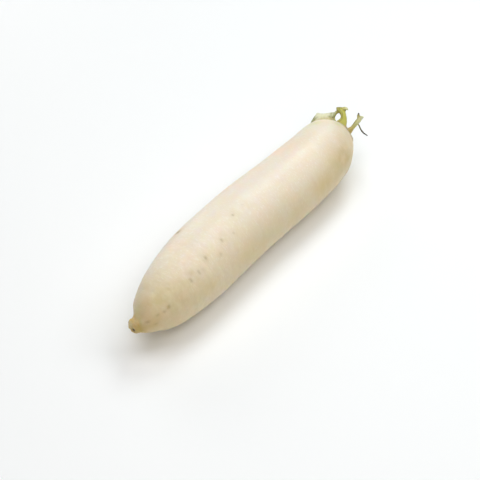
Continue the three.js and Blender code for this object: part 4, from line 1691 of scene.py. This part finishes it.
@dataclass(frozen=True)
class Studio:
    """The pale floor, the soft lights and the camera. Lengths are metres and angles are degrees."""

    azimuth: float = -55.0
    elevation: float = 41.9
    distance: float = 0.9
    view_width: float = 0.35616       # how much the camera sees across, at the target's distance
    target: tuple[float, float, float] = (-0.00104, 0.00909, -0.0002)
    sensor: float = 36.0
    floor_size: float = 10.0
    lit_reach: float = 1.1            # how far out the lamps light the floor; further out it glows instead
    glow_onset: float = 4.0           # how sharply its glow sets in
    glow: float = 0.9
    floor_roughness: float = 0.55
    wall_reach: float = 4.6
    wall_height: float = 2.6
    wall_sides: int = 48
    floor_colour: Colour = (0.94, 0.94, 0.94)
    sky: Colour = (1.0, 1.0, 1.0)
    sky_strength: float = 0.02
    lights: Sequence[Light] = (
        Light("crown_lamp", 12, 50, 4.8, (0.90, 0.97, 0.99), size=0.5),
        Light("low_back_lamp", 67, 20, 3.3, (1.0, 0.985, 0.95)),
        Light("overhead_lamp", 135, 75, 5.1, (0.97, 0.985, 1.0)),
        Light("tail_lamp", 215, 45, 4.5, (1.0, 0.985, 0.95)),
        Light("side_lamp", 315, 50, 4.6),
    )

    def build(self) -> None:
        """Sets up the camera, the floor, the lights and the sky."""
        self._camera()
        self._floor()
        self._wall()
        for light in self.lights:
            self._lamp(light)
        world = bpy.data.worlds.new("studio_sky")
        world.use_nodes = True
        background = world.node_tree.nodes["Background"]
        background.inputs["Color"].default_value = (*self.sky, 1.0)
        background.inputs["Strength"].default_value = self.sky_strength
        bpy.context.scene.world = world
        bpy.context.scene.view_settings.view_transform = "Standard"

    def _camera(self) -> None:
        """The camera looks down on the tail end of the root."""
        data = bpy.data.cameras.new("camera")
        data.sensor_width = self.sensor
        data.lens = self.sensor * self.distance / self.view_width
        camera = bpy.data.objects.new("camera", data)
        bpy.context.scene.collection.objects.link(camera)
        turn, rise = math.radians(self.azimuth), math.radians(self.elevation)
        away = Vector((math.sin(turn) * math.cos(rise), -math.cos(turn) * math.cos(rise), math.sin(rise)))
        camera.location = Vector(self.target) + away * self.distance
        camera.rotation_euler = (-away).to_track_quat("-Z", "Y").to_euler()
        bpy.context.scene.camera = camera

    def _floor(self) -> None:
        """A wide plain floor that the root rests on."""
        half = self.floor_size / 2
        corners = [(-half, -half, 0), (half, -half, 0), (half, half, 0), (-half, half, 0)]
        material, nodes, shader = start_material("floor_paint")
        place = nodes.add("TexCoord").outputs["Object"]
        away = nodes.add("VectorMath", {0: place}, operation="LENGTH").outputs["Value"]
        share = nodes.math("POWER", nodes.math("DIVIDE", away, self.lit_reach), self.glow_onset)
        far = nodes.math("DIVIDE", share, nodes.math("ADD", share, 1.0), clamp=True)
        nodes.feed(shader, {
            "Emission Color": nodes.mix(far, (0.0, 0.0, 0.0), self.floor_colour),
            "Emission Strength": self.glow,
            "Base Color": (*self.floor_colour, 1.0),
            "Roughness": self.floor_roughness,
        })
        self._stage("floor", corners, [(0, 1, 2, 3)], material)

    def _wall(self) -> None:
        """A round wall far behind everything, as pale as the far floor, which throws no light."""
        count = self.wall_sides
        turns = [2 * math.pi * k / count for k in range(count)]
        ring = [(self.wall_reach * math.cos(t), self.wall_reach * math.sin(t)) for t in turns]
        points = [(x, y, z) for z in (0.0, self.wall_height) for x, y in ring]
        faces = [(k, (k + 1) % count, count + (k + 1) % count, count + k) for k in range(count)]
        material, nodes, shader = start_material("wall_paint")
        nodes.feed(shader, {
            "Base Color": (0.0, 0.0, 0.0, 1.0),
            "Specular IOR Level": 0.0,
            "Emission Color": (*self.floor_colour, 1.0),
            "Emission Strength": self.glow,
        })
        wall = self._stage("wall", points, faces, material)
        wall.visible_diffuse = False
        wall.visible_glossy = False
        wall.visible_transmission = False
        wall.visible_shadow = False

    @staticmethod
    def _stage(name: str, points: list, faces: list, material: bpy.types.Material) -> bpy.types.Object:
        """Adds a piece of the studio, which is no part of the radish.

        Args:
            name: Its name.
            points: Its vertices, in metres.
            faces: Its faces, as lists of vertex numbers.
            material: What it is painted with.

        Returns:
            The object.
        """
        mesh = bpy.data.meshes.new(name)
        mesh.from_pydata(points, [], faces)
        mesh.materials.append(material)
        piece = bpy.data.objects.new(name, mesh)
        bpy.context.scene.collection.objects.link(piece)
        return piece

    def _lamp(self, light: Light) -> None:
        """One lamp, turned towards the middle of the floor.

        Args:
            light: What it is like and where it hangs.
        """
        data = bpy.data.lights.new(light.name, "AREA")
        data.shape = "SQUARE"
        data.size = light.size
        data.energy = light.power
        data.color = light.colour
        lamp = bpy.data.objects.new(light.name, data)
        bpy.context.scene.collection.objects.link(lamp)
        lamp.location = light.place()
        lamp.rotation_euler = (-light.place()).to_track_quat("-Z", "Y").to_euler()


# ---------------------------------------------------------------- the whole


@dataclass
class Daikon:
    """The whole radish: its skin and its stalks, set in the frame."""

    form: RootForm = field(default_factory=RootForm)
    outline_places: int = 600  # how many places of the root are looked at to find its width

    def origin(self) -> Array:
        """Where the frame's origin is in the root's space, from the corners of the frame's root.

        Returns:
            The place, in millimetres.
        """
        low, high = (np.array(corner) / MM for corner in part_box("root"))
        place = np.linspace(0, self.form.shoulder_end, self.outline_places)
        right, _ = self.form.across(self.form.heading(place))
        reach = self.form.radius(place)[:, None] * right
        sides = np.concatenate([self.form.centre(place) + reach, self.form.centre(place) - reach])
        tip = -self.form.tail_cap * self.form.heading(np.float64(0))[0]
        middle = (sides[:, 1].min() + sides[:, 1].max()) / 2
        return np.array([tip - low[0], middle - (low[1] + high[1]) / 2, self.form.rest_height - low[2]])

    def build(self) -> None:
        """Makes every piece and ties it to the frame."""
        shelf = EffectShelf()
        origin = self.origin()
        log.info("origin in the root's space: %s mm", origin.round(2))
        short = [stalk for ring in (OUTER_RING, INNER_RING, BUD) for stalk in ring.stalks(self.form)]
        stalks = [*TALL_STALKS, *short]
        finishes = {finish.slot: finish.make(shelf) for finish in (PALE_STALK, OLIVE_STALK, BUD_GREEN)}
        skin = RootSkin(self.form, stalks).build(origin)
        self._set(skin, "root", Slot.SKIN, RootFinish().make(shelf))
        for stalk in stalks:
            piece = stalk.build(self.form, origin)
            self._set(piece, stalk.node, stalk.slot, finishes[stalk.slot])

    @staticmethod
    def _set(piece: bpy.types.Object, node: str, slot: Slot, material: bpy.types.Material) -> None:
        """Dresses a piece and lets it stand for its node.

        Args:
            piece: The finished piece.
            node: The name of its node in the frame.
            slot: The record's finish for it. It is not used.
            material: Its material.
        """
        piece.data.materials.clear()
        piece.data.materials.append(material)
        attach(piece, "root")
        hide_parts(node)
        log.info("%s: %d vertices, for %s", piece.name, len(piece.data.vertices), node)


def main() -> None:
    """Builds the studio and the radish, in that order."""
    logging.basicConfig(level=logging.INFO, format="%(name)s: %(message)s")
    Studio().build()
    Daikon().build()


if __name__ == "__main__":
    main()
